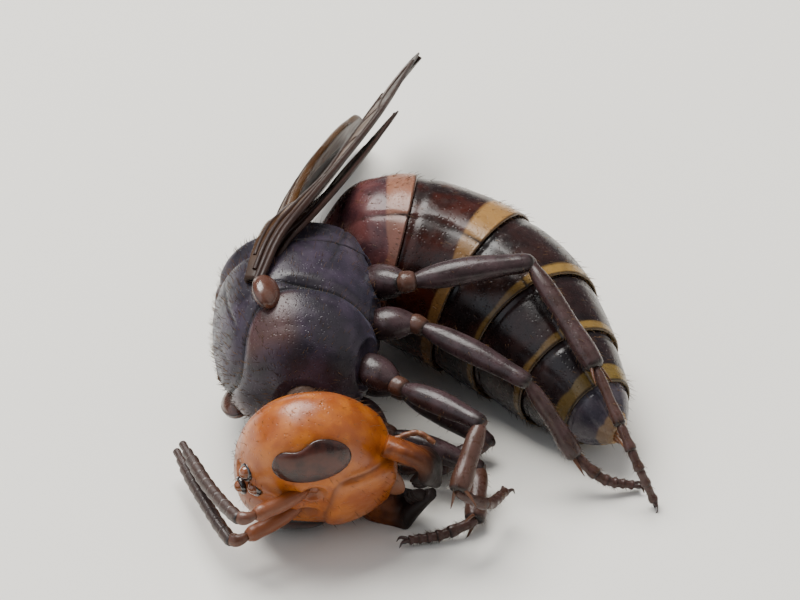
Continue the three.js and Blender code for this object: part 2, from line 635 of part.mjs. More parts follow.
function limbForm(from, to, profile, scale, startPlane, endPlane, sides, steps) {
  const aim = to.clone().sub(from);
  const length = aim.length();
  aim.normalize();
  const across = new THREE.Vector3(0.3, 0.2, 1).cross(aim).normalize();
  const up = aim.clone().cross(across).normalize();
  const rings = [];
  for (let i = 0; i <= steps; i += 1) {
    const radius = along(profile, i / steps)[0] * scale;
    const flat = ringAt(from, across, up, radius, radius, sides);
    rings.push(flat.map((p) => {
      const first = startPlane ? toPlane(p, aim, startPlane, GAP / 2) : 0;
      const last = endPlane ? toPlane(p, aim, endPlane, -GAP / 2) : length;
      let s = THREE.MathUtils.clamp((length * i) / steps,
        first + LIMB_STEP * i, last - LIMB_STEP * (steps - i));
      if (i === 0) s = first;
      if (i === steps) s = last;
      return p.clone().addScaledVector(aim, s);
    }));
  }
  return loft(rings);
}

function clawForm(at, aim, side) {
  const claw = new THREE.ConeGeometry(CLAW.radius, CLAW.length, 5, 1);
  claw.deleteAttribute('normal');
  claw.deleteAttribute('uv');
  claw.translate(0, CLAW.length * 0.32, 0);
  const lean = aim.clone().addScaledVector(side, CLAW.spread).normalize();
  claw.applyQuaternion(new THREE.Quaternion().setFromUnitVectors(new THREE.Vector3(0, 1, 0), lean));
  claw.translate(at.x, at.y, at.z);
  return mergeVertices(claw);
}

function tarsusForm(ankle, bend, toe, startPlane) {
  const path = new THREE.CatmullRomCurve3([ankle, bend, toe]);
  const shares = [0, 0.05];
  const radii = [TARSUS_WAIST, TARSUS_WAIST];
  let before = 0;
  TARSUS_JOINTS.forEach((end, k) => {
    const size = TARSUS_RADIUS * (1 - 0.06 * k);
    shares.push(before + (end - before) * 0.82, end - 0.01);
    radii.push(size, TARSUS_WAIST);
    before = end;
  });
  const side = new THREE.Vector3(0.1, 0.2, 1);
  const rings = shares.map((share, i) => {
    const aim = path.getTangentAt(share);
    const across = side.clone().cross(aim).normalize();
    const up = aim.clone().cross(across).normalize();
    const ring = ringAt(path.getPointAt(share), across, up, radii[i], radii[i], 6);
    return ring.map((p) => {
      const short = toPlane(p, aim, startPlane, GAP / 2 + 0.04 * i);
      return i === 0 || short > 0 ? p.clone().addScaledVector(aim, short) : p;
    });
  });
  const aim = path.getTangentAt(1);
  const across = side.clone().cross(aim).normalize();
  const end = path.getPointAt(0.98);
  return [loft(rings), clawForm(end, aim, across), clawForm(end, aim, across.clone().negate())];
}

const floor = floorIn(new THREE.Group());
const thoraxOuter = thoraxForm(CLEAR);
thoraxOuter.applyMatrix4(hornet.matrixWorld);
const thoraxCutLaid = solidOf(thoraxOuter);
const legs = new THREE.Group();
for (const [name, leg] of Object.entries(LEGS)) {
  const size = LEG_SIZE[name.split('_')[0]];
  const root = hornet.localToWorld(new THREE.Vector3(...leg.root));
  const [hip, knee, ankle, bend, toe] = leg.joints.map((p) => new THREE.Vector3(...p));
  const aims = [root, hip, knee, ankle, bend].map((p, k) => [hip, knee, ankle, bend, toe][k].clone()
    .sub(p).normalize());
  const hipPlane = mitre(hip, aims[0], aims[1]);
  const kneePlane = mitre(knee, aims[1], aims[2]);
  const anklePlane = mitre(ankle, aims[2], aims[3]);
  addNode(legs, `leg_${name}_coxa`, DARK, [limbForm(root, hip, COXA, size, null, hipPlane, 10, 3)],
    [thoraxCutLaid, floor]);
  addNode(legs, `leg_${name}_femur`, BROWN,
    [limbForm(hip, knee, FEMUR, size, hipPlane, kneePlane, 8, 6)], [floor, thoraxCutLaid]);
  addNode(legs, `leg_${name}_tibia`, BROWN,
    [limbForm(knee, ankle, TIBIA, size, kneePlane, anklePlane, 8, 5)], [floor]);
  addNode(legs, `leg_${name}_foot`, BROWN, tarsusForm(ankle, bend, toe, anklePlane), [floor]);
}

// The origin is on the floor under the middle of the whole hornet's box
const part = new THREE.Group();
part.add(hornet, legs);
const middle = new THREE.Box3().setFromObject(part, true).getCenter(new THREE.Vector3());
part.position.set(-middle.x, -middle.y, 0);
export default part;
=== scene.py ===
# Asian giant hornet worker, life size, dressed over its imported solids.
import math

import bpy
import numpy as np
from mathutils import Euler, Matrix, Vector


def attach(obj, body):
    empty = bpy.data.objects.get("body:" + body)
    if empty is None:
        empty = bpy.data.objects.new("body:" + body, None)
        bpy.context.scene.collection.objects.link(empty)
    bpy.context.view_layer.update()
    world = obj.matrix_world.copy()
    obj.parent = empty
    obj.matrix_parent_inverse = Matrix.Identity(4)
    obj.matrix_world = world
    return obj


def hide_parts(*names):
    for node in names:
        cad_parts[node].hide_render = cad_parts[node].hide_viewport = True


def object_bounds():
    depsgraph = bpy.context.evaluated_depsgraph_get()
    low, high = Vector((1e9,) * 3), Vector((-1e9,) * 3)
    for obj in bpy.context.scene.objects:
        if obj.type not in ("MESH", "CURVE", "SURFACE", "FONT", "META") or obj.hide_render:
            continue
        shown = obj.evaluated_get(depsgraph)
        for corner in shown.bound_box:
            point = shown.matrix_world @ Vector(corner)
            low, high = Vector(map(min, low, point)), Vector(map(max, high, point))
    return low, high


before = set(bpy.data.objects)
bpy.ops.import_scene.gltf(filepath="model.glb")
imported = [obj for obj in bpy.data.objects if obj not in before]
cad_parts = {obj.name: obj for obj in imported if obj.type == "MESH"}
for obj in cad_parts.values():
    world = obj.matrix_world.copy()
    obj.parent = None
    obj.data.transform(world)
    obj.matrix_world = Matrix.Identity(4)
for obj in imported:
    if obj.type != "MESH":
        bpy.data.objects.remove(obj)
cad_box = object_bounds()

# The table that the hornet lies on: a plain pale sheet under three soft lamps and a pale room.
# The camera looks down at it from where the picture was taken, with the head toward the lens.
TABLE_COLOUR = (0.80, 0.78, 0.72, 1)
TABLE_ROUGHNESS, TABLE_HALF = 0.75, 3
table = bpy.data.objects.new("table", bpy.data.meshes.new("table"))
table.data.from_pydata([
    (x * TABLE_HALF, y * TABLE_HALF, 0) for x, y in ((-1, -1), (1, -1), (1, 1), (-1, 1))], [], [(0, 1, 2, 3)])
bpy.context.scene.collection.objects.link(table)
table_finish = bpy.data.materials.new("table_paper")
table_finish.use_nodes = True
paper = table_finish.node_tree.nodes["Principled BSDF"].inputs
paper["Base Color"].default_value = TABLE_COLOUR
paper["Roughness"].default_value = TABLE_ROUGHNESS
table.data.materials.append(table_finish)

# Each lamp: its place, width, watts and colour
LAMPS = [
    ("window", (-0.12, 0.16, 0.42), 0.32, 4.7, (1.0, 0.98, 0.95)),
    ("room_left", (-0.40, -0.22, 0.30), 0.62, 1.3, (0.86, 0.92, 1.0)),
    ("room_right", (0.42, -0.10, 0.38), 0.70, 1.0, (1.0, 0.95, 0.90)),
]
for name, place, size, watts, colour in LAMPS:
    lamp = bpy.data.lights.new(name, "AREA")
    lamp.energy, lamp.size, lamp.color = watts, size, colour
    lamp_object = bpy.data.objects.new(name, lamp)
    lamp_object.location = place
    lamp_object.rotation_mode = "QUATERNION"
    lamp_object.rotation_quaternion = (-Vector(place)).to_track_quat("-Z", "Y")
    bpy.context.scene.collection.objects.link(lamp_object)
ROOM_COLOUR, ROOM_LIGHT = (0.84, 0.89, 1.0, 1), 0.26
room = bpy.data.worlds.new("room")
room.use_nodes = True
walls = room.node_tree.nodes["Background"].inputs
walls["Color"].default_value = ROOM_COLOUR
walls["Strength"].default_value = ROOM_LIGHT
bpy.context.scene.world = room

CAMERA_RISE = math.radians(36)
CAMERA_AWAY = 0.460
VIEW_WIDTH = 0.0435
LOOKS_AT = Vector((-0.0008, -0.0010, 0.0040))
camera = bpy.data.objects.new("camera", bpy.data.cameras.new("camera"))
back = Vector((0, -math.cos(CAMERA_RISE), math.sin(CAMERA_RISE)))
camera.location = LOOKS_AT + back * CAMERA_AWAY
camera.rotation_mode = "QUATERNION"
camera.rotation_quaternion = (-back).to_track_quat("-Z", "Y")
camera.data.lens = camera.data.sensor_width * CAMERA_AWAY / VIEW_WIDTH
camera.data.clip_start, camera.data.clip_end = 0.01, 10
bpy.context.scene.collection.objects.link(camera)
bpy.context.scene.camera = camera

# Head capsule: one hard orange shell with the face shield, the feeler pits, a furrow down the brow,
# the keel round the back of the cheeks and a raised spot for the three small eyes. It hangs on the
# neck, turned to one side and nodding.
SIDES = (("left", 1), ("right", -1))
# The middle of the thorax, placed so that the origin is on the floor under the middle of the solids
LIES_AT = Vector((-6.4333, -6.8484, 6.4))
LIES = Matrix.Translation(LIES_AT) @ Euler(
    (math.radians(78), math.radians(4), math.radians(-90)), "XYZ").to_matrix().to_4x4()
HEAD_SET = LIES @ Matrix.Translation((6.75, 0, -0.5)) @ Euler(
    (0, math.radians(12), math.radians(-20)), "XYZ").to_matrix().to_4x4()
HEAD_MIDDLE = np.array((2.8, 0, 0))
SHIELD = {"half_wide": 2.3, "half_high": 1.75, "middle": -2.35, "rise": 0.55}
PIT_SIDE, PIT_HIGH = 1.05, 0.35
ORANGE = (0.27, 0.058, 0.002)
ORANGE_PALE = (0.40, 0.110, 0.006)
CHESTNUT = (0.10, 0.024, 0.007)
PITCH = (0.010, 0.005, 0.004)


class Wire:
    """A socket of a node tree, so that patterns are written as plain sums."""

    def __init__(self, tree, socket):
        self.tree, self.socket = tree, socket

    def work(self, operation, *others):
        return self.tree.node("ShaderNodeMath", {"operation": operation}, dict(enumerate((self,) + others)))

    def __add__(self, other):
        return self.work("ADD", other)

    def __mul__(self, other):
        return self.work("MULTIPLY", other)

    def __sub__(self, other):
        return self.work("SUBTRACT", other)

    def __rsub__(self, other):
        return self * -1 + other

    def __truediv__(self, other):
        return self.work("DIVIDE", other)

    __radd__ = __add__
    __rmul__ = __mul__

    def ramp(self, low, high, first=0.0, last=1.0):
        """Runs smoothly from first to last while the wire runs from low to high."""
        return self.tree.node("ShaderNodeMapRange", {"interpolation_type": "SMOOTHSTEP"},
                              {0: self, 1: low, 2: high, 3: first, 4: last})


class Wiring:
    """A node tree; node() adds one node: its settings are set first, then its sockets."""

    def __init__(self, tree):
        self.tree = tree

    def node(self, kind, settings=None, sockets=None, out=0):
        made = self.tree.nodes.new(kind)
        for name, value in (settings or {}).items():
            setattr(made, name, value)
        for key, value in (sockets or {}).items():
            self.put(made.inputs[key], value)
        return Wire(self, made.outputs[out])

    def put(self, socket, value):
        if isinstance(value, Wire):
            self.tree.links.new(value.socket, socket)
        else:
            socket.default_value = value


class Finish(Wiring):
    """A material: fixed numbers go straight on the shader, patterns through wires."""

    def __init__(self, name, **fixed):
        self.material = bpy.data.materials.new(name)
        self.material.use_nodes = True
        super().__init__(self.material.node_tree)
        self.shader = self.tree.nodes["Principled BSDF"]
        for socket, value in fixed.items():
            self.shader.inputs[socket.replace("_", " ")].default_value = value
        self.place = self.node("ShaderNodeTexCoord", out="Object")

    def mark(self, name):
        return self.node("ShaderNodeAttribute", {"attribute_name": name}, out="Fac")

    def noise(self, size, detail=3.0):
        return self.node("ShaderNodeTexNoise", {}, {
            "Vector": self.place, "Scale": 1 / size, "Detail": detail})

    def pits(self, size):
        return self.node("ShaderNodeTexVoronoi", {}, {"Vector": self.place, "Scale": 1 / size})

    def mix(self, amount, first, second):
        first, second = ((*c, 1) if isinstance(c, tuple) else c for c in (first, second))
        return self.node("ShaderNodeMix", {"data_type": "RGBA"}, {0: amount, 6: first, 7: second}, 2)

    def tones(self, size, first, last, detail=3.0, low=0.35, high=0.7):
        """Two colours in soft patches of size metres."""
        return self.mix(self.noise(size, detail).ramp(low, high), first, last)

    def over(self, tone, **marks):
        """Lays a colour over the tone wherever the mark of that name is."""
        for name, colour in marks.items():
            tone = self.mix(self.mark(name), tone, colour)
        return tone

    def rough(self, size, low, high, detail=3.0):
        return self.noise(size, detail).ramp(0.3, 0.7, low, high)

    def wear(self, colour, roughness=None, relief=None, depth=None, alpha=None):
        """Joins the patterns to the shader; relief is a height that is depth metres tall."""
        normal = None
        if relief is not None:
            normal = self.node("ShaderNodeBump", {}, {"Strength": 1.0, "Distance": depth, "Height": relief})
        for name, value in (("Base Color", colour), ("Roughness", roughness), ("Normal", normal),
                            ("Alpha", alpha)):
            if value is not None:
                self.put(self.shader.inputs[name], value)


def step(value, low, high):
    share = np.clip((value - low) / (high - low), 0, 1)
    return share * share * (3 - 2 * share)


def bell(value, width):
    return np.exp(-(value / width) ** 2)


def unit(vectors):
    return vectors / np.linalg.norm(vectors, axis=-1, keepdims=True)


def circle(count):
    """Even angles once round."""
    return np.linspace(0, 2 * math.pi, count, endpoint=False)


def ball(rows, columns):
    """Ways from the middle of a ball to rows of points on it."""
    lift = np.linspace(-math.pi / 2, math.pi / 2, rows + 2)[1:-1, None]
    turn = circle(columns)[None, :]
    return np.stack([np.cos(lift) * np.cos(turn), np.cos(lift) * np.sin(turn), np.sin(lift) + 0 * turn], -1)


def into_world(points, setting):
    turned = np.array(setting)
    return points @ turned[:3, :3].T + turned[:3, 3]


MM = 0.001
cad_box_mm = np.array(cad_box) * 1000


def shell(name, rings, setting, marks=None, closed=(True, True), *, finish):
    """A closed skin through rings of points in mm, set in the world and clipped to the solids' box.

    marks are numbers for each point that the finish or the hair reads. The skin's own unwrap is
    kept as a UV map named lie."""
    count, around = rings.shape[:2]
    points = into_world(rings.reshape(-1, 3), setting)
    marks = {key: np.broadcast_to(value, (count, around)).reshape(-1)
             for key, value in (marks or {}).items()}
    row, column = np.meshgrid(np.arange(count - 1), np.arange(around), indexing="ij")
    first = (row * around + column).ravel()
    second = (row * around + (column + 1) % around).ravel()
    quads = np.stack([first, second, second + around, first + around], 1)
    u, v = (column / around).ravel(), (row / (count - 1)).ravel()
    du, dv = 1 / around, 1 / (count - 1)
    unwrap = np.stack([u, v, u + du, v, u + du, v + dv, u, v + dv], 1).reshape(-1, 4, 2)
    # A skin that comes out inside out is turned round
    corner = points[quads]
    volume = np.einsum("ij,ij->i", corner[:, 0] - points.mean(0), np.cross(
        corner[:, 1] - corner[:, 0], corner[:, 2] - corner[:, 0])).sum()
    caps, cap_unwrap, hubs = [], [], []
    for end, base in ((0, 0), (1, (count - 1) * around)):
        if not closed[end]:
            continue
        hub = len(points) + len(hubs)
        hubs.append(points[base:base + around].mean(0))
        for key in marks:
            marks[key] = np.append(marks[key], marks[key][base:base + around].mean())
        for k in range(around):
            pair = (base + k, base + (k + 1) % around)
            caps.append((hub, pair[1], pair[0]) if end == 0 else (hub, pair[0], pair[1]))
            spots = ((k + 0.5) / around, end), ((k + 1 - end) / around, end), ((k + end) / around, end)
            cap_unwrap.append(spots)
    if hubs:
        points = np.concatenate([points, np.array(hubs)])
    points = np.clip(points, *cad_box_mm)
    if volume < 0:
        quads, unwrap = quads[:, ::-1], unwrap[:, ::-1]
        caps = [c[::-1] for c in caps]
        cap_unwrap = [c[::-1] for c in cap_unwrap]
    mesh = bpy.data.meshes.new(name)
    mesh.from_pydata((points * MM).tolist(), [], quads.tolist() + caps)
    lie = mesh.uv_layers.new(name="lie")
    flat = np.concatenate([unwrap.reshape(-1), np.array(cap_unwrap).reshape(-1)])
    lie.data.foreach_set("uv", flat.astype(np.float32))
    for key, value in marks.items():
        mesh.attributes.new(key, "FLOAT", "POINT").data.foreach_set("value", value.astype(np.float32))
    mesh.polygons.foreach_set("use_smooth", np.ones(len(mesh.polygons), bool))
    mesh.materials.append(finish.material)
    made = bpy.data.objects.new(name, mesh)
    bpy.context.scene.collection.objects.link(made)
    return made


def head_reach(way):
    """How far the head's surface is from its middle, and the marks that colour it."""
    x, y, z = way[..., 0], way[..., 1], way[..., 2]
    side = 4.8 * (1 - 0.24 * step(-z, 0, 0.9)) * (1 - 0.05 * step(x, 0.2, 0.9))
    total = (np.abs(x / np.where(x > 0, 2.75, 2.7)) ** 2.5 + np.abs(y / side) ** 2.5
             + np.abs(z / np.where(z > 0, 3.9, 4.3)) ** 2.5)
    reach = total ** (-1 / 2.5)
    at_x, at_y, at_z = x * reach, y * reach, z * reach
    face = step(x, -0.02, 0.1)
    shield = ((np.abs(at_y) / SHIELD["half_wide"]) ** 5
              + (np.abs(at_z - SHIELD["middle"]) / SHIELD["half_high"]) ** 5) ** 0.2
    pit = np.hypot(np.abs(at_y) - PIT_SIDE, at_z - PIT_HIGH)
    brow = bell(at_y, 0.07) * step(at_z, 0.3, 1.0) * step(-at_z, -3.0, -2.4)
    reach = reach + face * (
        SHIELD["rise"] * step(1.25 - shield, 0, 0.5) - 0.10 * bell(shield - 1.0, 0.045)
        - 0.45 * bell(pit, 0.55) + 0.10 * bell(pit - 0.72, 0.13) - 0.09 * brow
        - 0.18 * bell(at_y, 0.35) * step(at_z, 0.2, 1.2)
        + 0.05 * bell(np.abs(at_y) - 0.9, 0.5) * bell(at_z + 3.6, 0.3))
    reach = reach - (1 - face) * 0.7 * bell(at_y, 1.7) * bell(at_z - 0.2, 1.7)
    keel = bell(at_x + 1.25 + 0.02 * at_y ** 2, 0.13) * step(np.hypot(at_y, at_z), 2.0, 3.0)
    reach = reach + 0.07 * keel
    crown = np.hypot(at_x - 1.1, at_y)
    reach = reach + 0.05 * bell(crown, 0.9) * step(at_z, 2.0, 3.0)
    # The dark mark: the dark spot round the three small eyes and the dark keel are the head's own colour. The
    # darkening in the feeler pits, along the sunk edge of the face shield and down the brow furrow is painted
    # shade. The chin and the back of the head are darker too.
    dark = (0.75 * bell(crown, 0.55) * step(at_z, 2.0, 3.0) + face * (
        0.85 * bell(pit, 0.5) + 0.55 * bell(shield - 1.0, 0.05) + 0.35 * brow)
        + 0.45 * keel + 0.8 * step(-at_z, 3.6, 4.3) + 0.7 * step(-at_x, 1.7, 2.4) * bell(at_y, 2.2))
    return reach, np.clip(dark, 0, 1)


def head_point(way, rise=0.0):
    aim = unit(np.asarray(way, float))
    reach = head_reach(aim)[0] + rise
    return aim * reach[..., None] + HEAD_MIDDLE


head_finish = Finish("orange_shell", Coat_Weight=0.22, Coat_Roughness=0.22, Specular_IOR_Level=0.42,
                     Subsurface_Weight=0.05, Subsurface_Radius=(0.6, 0.25, 0.1), Subsurface_Scale=0.0006)
speck = head_finish.pits(0.00026)
# Chestnut where the dark mark is: partly the head's own dark spots, partly painted shade in its pits and
# furrows.
tone = head_finish.over(head_finish.tones(0.0011, ORANGE, ORANGE_PALE, 4), dark=CHESTNUT)
# Chestnut in the bottoms of the fine punctures is painted shade in the pits.
tone = head_finish.mix(speck.ramp(0.0, 0.22, 0.35, 0.0), tone, CHESTNUT)
head_finish.wear(tone, head_finish.rough(0.0004, 0.30, 0.46, 2),
                 speck.ramp(0.0, 0.30) + head_finish.noise(0.00012, 2) * 0.12, 0.000022)

way = ball(170, 280)
reach, dark = head_reach(way)
hairy = 0.35 + 0.65 * step(-way[..., 0], -0.2, 0.6)
head = shell("head_capsule", way * reach[..., None] + HEAD_MIDDLE, HEAD_SET,
             {"dark": dark, "hairy": hairy}, finish=head_finish)
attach(head, "root")
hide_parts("head")

# Compound eyes: dark red-brown beans let into the sides of the head, notched toward the feelers.
# Each is a smooth dome of many hundred facets under a clear hard surface, with a thin dark rim.
EYE = {"tall": 2.35, "wide": 1.2, "notch": 0.42, "dome": 0.30, "sunk": 0.35}
eye_finish = Finish("eye_facets", Roughness=0.24, Specular_IOR_Level=0.3, Coat_Weight=0.3, Coat_Roughness=0.1)
facet = eye_finish.pits(0.000065)
eye_tone = eye_finish.tones(0.0010, (0.020, 0.006, 0.004), (0.070, 0.017, 0.009), 2)
eye_finish.wear(eye_finish.over(eye_tone, rim=PITCH), None, 1 - facet.ramp(0.0, 0.6), 0.000006)


def eye_frame(hand):
    """Middle of an eye and its up and forward ways on the head."""
    middle = unit(np.array((0.52, hand * 0.82, 0.2)))
    up = np.array((0.12, -hand * 0.14, 1.0))
    up = unit(up - middle * up.dot(middle))
    return middle, up, unit(np.cross(up, middle)) * hand


for side, hand in SIDES:
    middle, up, ahead = eye_frame(hand)
    climb = np.linspace(0, math.pi / 2, 46)
    share = np.concatenate([[1.0, 1.0], np.cos(climb)[:-1]])[:, None]
    rise = np.concatenate([[-EYE["sunk"], -EYE["sunk"] / 2],
                           0.02 + EYE["dome"] * np.sin(climb)[:-1] ** 0.8])[:, None]
    angle = circle(96)[None, :]
    high = EYE["tall"] * share * np.sin(angle)
    notch = EYE["notch"] * share * bell(high - 0.55, 0.7) * step(np.cos(angle), 0, 0.5)
    along_face = EYE["wide"] * share * np.cos(angle) - notch
    way = middle * head_reach(middle)[0] + along_face[..., None] * ahead + high[..., None] * up
    eye = shell(f"compound_eye_{side}", head_point(way, rise + 0 * angle), HEAD_SET,
                {"rim": step(share, 0.93, 0.99)}, (False, True), finish=eye_finish)
    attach(eye, "root")
    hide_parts(f"eye_{side}")

# Ocelli: three glassy amber beads in a triangle on the crown, each in a low dark collar.
OCELLI = [("front", (0.52, 0, 1)), ("left", (0.30, 0.20, 1)), ("right", (0.30, -0.20, 1))]
ocellus_finish = Finish("ocellus_glass", Roughness=0.08, Coat_Weight=0.8, Coat_Roughness=0.05)
ocellus_finish.wear(ocellus_finish.over((0.20, 0.055, 0.012), collar=PITCH),
                    None, ocellus_finish.noise(0.0001), 0.000004)
for spot, way in OCELLI:
    base = head_point(way, -0.12)
    out = unit(np.array(way, float))
    across = unit(np.cross(out, (0, 1.0, 0.1)))
    ahead = np.cross(out, across)
    sections = [(0.50, -0.05), (0.50, 0.14), (0.43, 0.24), (0.36, 0.20)]
    sections += [(0.34 * math.cos(a), 0.20 + 0.30 * math.sin(a)) for a in np.linspace(0.1, 1.5, 9)]
    round_it = np.cos(circle(32))[:, None] * across + np.sin(circle(32))[:, None] * ahead
    rings = np.array([base + out * rise + wide * round_it for wide, rise in sections])
    collar = np.array([1.0, 1, 1, 0.7] + [0.0] * 9)[:, None]
    bead = shell(f"ocellus_bead_{spot}", rings, HEAD_SET, {"collar": collar}, finish=ocellus_finish)
    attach(bead, "root")
    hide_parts(f"ocellus_{spot}")

# Jaws: two stout blades hinged at the lower corners of the face and closed below the shield.
# Orange-brown at the hinge and nearly black from the middle to the tip, with two long grooves down each
# face and three blunt teeth.


def stroll(points, count):
    """Even places and ways along a smooth curve through points."""
    points = np.asarray(points, float)
    padded = np.concatenate([[2 * points[0] - points[1]], points, [2 * points[-1] - points[-2]]])
    fine = []
    for k in range(len(points) - 1):
        a, b, c, d = padded[k:k + 4]
        t = np.linspace(0, 1, 41)[:-1, None]
        fine.append(0.5 * (2 * b + (c - a) * t + (2 * a - 5 * b + 4 * c - d) * t ** 2
                           + (3 * b - a - 3 * c + d) * t ** 3))
    fine = np.concatenate(fine + [points[-1:]])
    gone = np.concatenate([[0], np.cumsum(np.linalg.norm(np.diff(fine, axis=0), axis=1))])
    wanted = np.linspace(0, gone[-1], count)
    places = np.stack([np.interp(wanted, gone, fine[:, k]) for k in range(3)], 1)
    return places, unit(np.gradient(places, axis=0))


def curve(stations, at):
    """Smooth value at any place between stations of (place, value)."""
    x, y = np.array(stations, float).T
    slope = np.gradient(y, x)
    k = np.clip(np.searchsorted(x, at) - 1, 0, len(x) - 2)
    gap = x[k + 1] - x[k]
    t = np.clip((at - x[k]) / gap, 0, 1)
    return ((2 * t ** 3 - 3 * t ** 2 + 1) * y[k] + (t ** 3 - 2 * t ** 2 + t) * slope[k] * gap
            + (3 * t ** 2 - 2 * t ** 3) * y[k + 1] + (t ** 3 - t ** 2) * slope[k + 1] * gap)


def tube(points, flat_side, wide, deep, count, around, relief=None):
    """Rings of a bent rod: wide and deep are stations of (share of its length, half size).

    With no deep the rod is round."""
    places, ways = stroll(points, count)
    up = unit(np.cross(ways, flat_side))
    across = np.cross(up, ways)
    share = np.linspace(0, 1, count)[:, None]
    angle = circle(around)[None, :]
    swell = 1 if relief is None else relief(share, angle)
    w = curve(wide, share) * swell * np.cos(angle)
    d = curve(deep or wide, share) * swell * np.sin(angle)
    return places[:, None, :] + w[..., None] * across[:, None, :] + d[..., None] * up[:, None, :]


def join(parts):
    """Makes one object of several: the first takes in the others."""
    with bpy.context.temp_override(active_object=parts[0], selected_editable_objects=parts):
        bpy.ops.object.join()


JAW_GAP, JAW_SOFT, JAW_RINGS = 0.05, 0.13, 60
jaw_finish = Finish("jaw_shell", Specular_IOR_Level=0.22)
jaw_tone = jaw_finish.over(jaw_finish.tones(0.0007, (0.20, 0.052, 0.008), CHESTNUT, low=0.3), black=PITCH)
jaw_finish.wear(jaw_tone, jaw_finish.rough(0.0005, 0.24, 0.40) + jaw_finish.mark("black") * 0.22,
                jaw_finish.pits(0.00025).ramp(0, 0.4) + jaw_finish.noise(0.0001) * 0.2, 0.00001)
for side, hand in SIDES:
    hinge, bend, tip = np.array([
        [3.7, hand * 2.95, -3.35], [4.55, hand * 2.75, -5.3], [4.8, hand * 0.62, -6.55]])
    blade = tube([hinge, bend, tip], (0.25, hand * 0.75, 0.6),
                 [(0, 1.0), (0.3, 1.25), (0.7, 0.90), (1, 0.36)],
                 [(0, 0.62), (0.3, 0.62), (0.7, 0.53), (1, 0.26)], JAW_RINGS, 56,
                 lambda s, a: 1 - 0.10 * bell(np.cos(a) - 0.25, 0.16) * step(s, 0.1, 0.3)
                 - 0.08 * bell(np.cos(a) + 0.45, 0.14) * step(s, 0.2, 0.5))
    # The two jaws meet a hair's breadth apart on the middle line, flattened softly where they touch
    beyond = (hand * blade[..., 1] - JAW_GAP) / JAW_SOFT
    blade[..., 1] = hand * (JAW_GAP + JAW_SOFT * np.log1p(np.exp(beyond)))
    black = step(np.linspace(0, 1, JAW_RINGS), 0.12, 0.60)[:, None]
    parts = [shell(f"jaw_{side}", blade, HEAD_SET, {"black": black}, finish=jaw_finish)]
    for share in (0.25, 0.5, 0.75):
        root = tip + (bend - tip) * (0.12 + 0.45 * share) + np.array((0, -hand * 0.22, 0.30))
        peak = root + np.array((0.05, -hand * 0.62, 0.62))
        peak[1] = hand * max(hand * peak[1], 0.14)
        tooth = tube([root, (root + peak) / 2 + (0.04, 0, 0.02), peak], (1, 0, 0),
                     [(0, 0.36), (0.6, 0.26), (1, 0.07)], [(0, 0.34), (0.6, 0.22), (1, 0.07)], 14, 20)
        parts.append(shell("tooth", tooth, HEAD_SET, {"black": 1.0}, finish=jaw_finish))
    join(parts)
    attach(parts[0], "root")
    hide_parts(f"mandible_{side}")

# Mouthparts: the upper lip under the shield, the folded tongue behind the jaws, and two pairs of
# short jointed feelers that hang beside it. Soft brown, with paler joints.
mouth_finish = Finish("mouth_skin", Roughness=0.5, Coat_Weight=0.15)
mouth_tone = mouth_finish.mix(mouth_finish.noise(0.0004), CHESTNUT, (0.16, 0.050, 0.014))
mouth_finish.wear(mouth_finish.over(mouth_tone, joint=(0.26, 0.11, 0.035)), None,
                  mouth_finish.noise(0.00009), 0.00001)
tongue = tube([(2.3, 0, -3.2), (2.7, 0, -4.9), (3.3, 0, -6.0)], (0, 1, 0),
              [(0, 1.2), (0.6, 0.95), (1, 0.5)], [(0, 0.5), (0.6, 0.42), (1, 0.24)], 40, 44,
              lambda s, a: 1 - 0.22 * bell(np.cos(a), 0.10) * step(s, 0.3, 0.6) + 0.02 * np.sin(46 * s))
parts = [shell("mouthparts_folded", tongue, HEAD_SET, {"joint": 0.3}, finish=mouth_finish)]
PALP_RINGS = 50
# Each pair of short feelers: its joints, its thickness and the way that it hangs
PALPS = [
    (5, 0.17, [(2.4, 0.95, -4.3), (2.25, 1.5, -5.6), (2.9, 1.5, -6.5)]),
    (3, 0.13, [(2.8, 0.45, -5.0), (2.75, 0.75, -5.9), (3.3, 0.6, -6.7)]),
]
for hand in (1, -1):
    for joints, thick, path in PALPS:
        route = np.array(path) * (1, hand, 1)
        beads = lambda s, a: 0.72 + 0.42 * np.abs(np.sin(math.pi * joints * s)) ** 0.45
        share = np.linspace(0, 1, PALP_RINGS)[:, None]
        palp = tube(route, (0, 1, 0), [(0, thick), (1, thick * 0.8)], None, PALP_RINGS, 16, beads)
        parts.append(shell("palp", palp, HEAD_SET, {
            "joint": 1 - np.abs(np.sin(math.pi * joints * share)) ** 0.4}, finish=mouth_finish))
lip = tube([(4.3, -1.25, -4.15), (4.75, 0, -4.42), (4.3, 1.25, -4.15)], (0.3, 0, -1),
           [(0, 0.1), (0.2, 0.34), (0.8, 0.34), (1, 0.1)], [(0, 0.1), (0.5, 0.2), (1, 0.1)], 40, 20)
parts.append(shell("lip", lip, HEAD_SET, {"joint": 0.15}, finish=mouth_finish))
join(parts)
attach(parts[0], "root")
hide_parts("mouthparts")

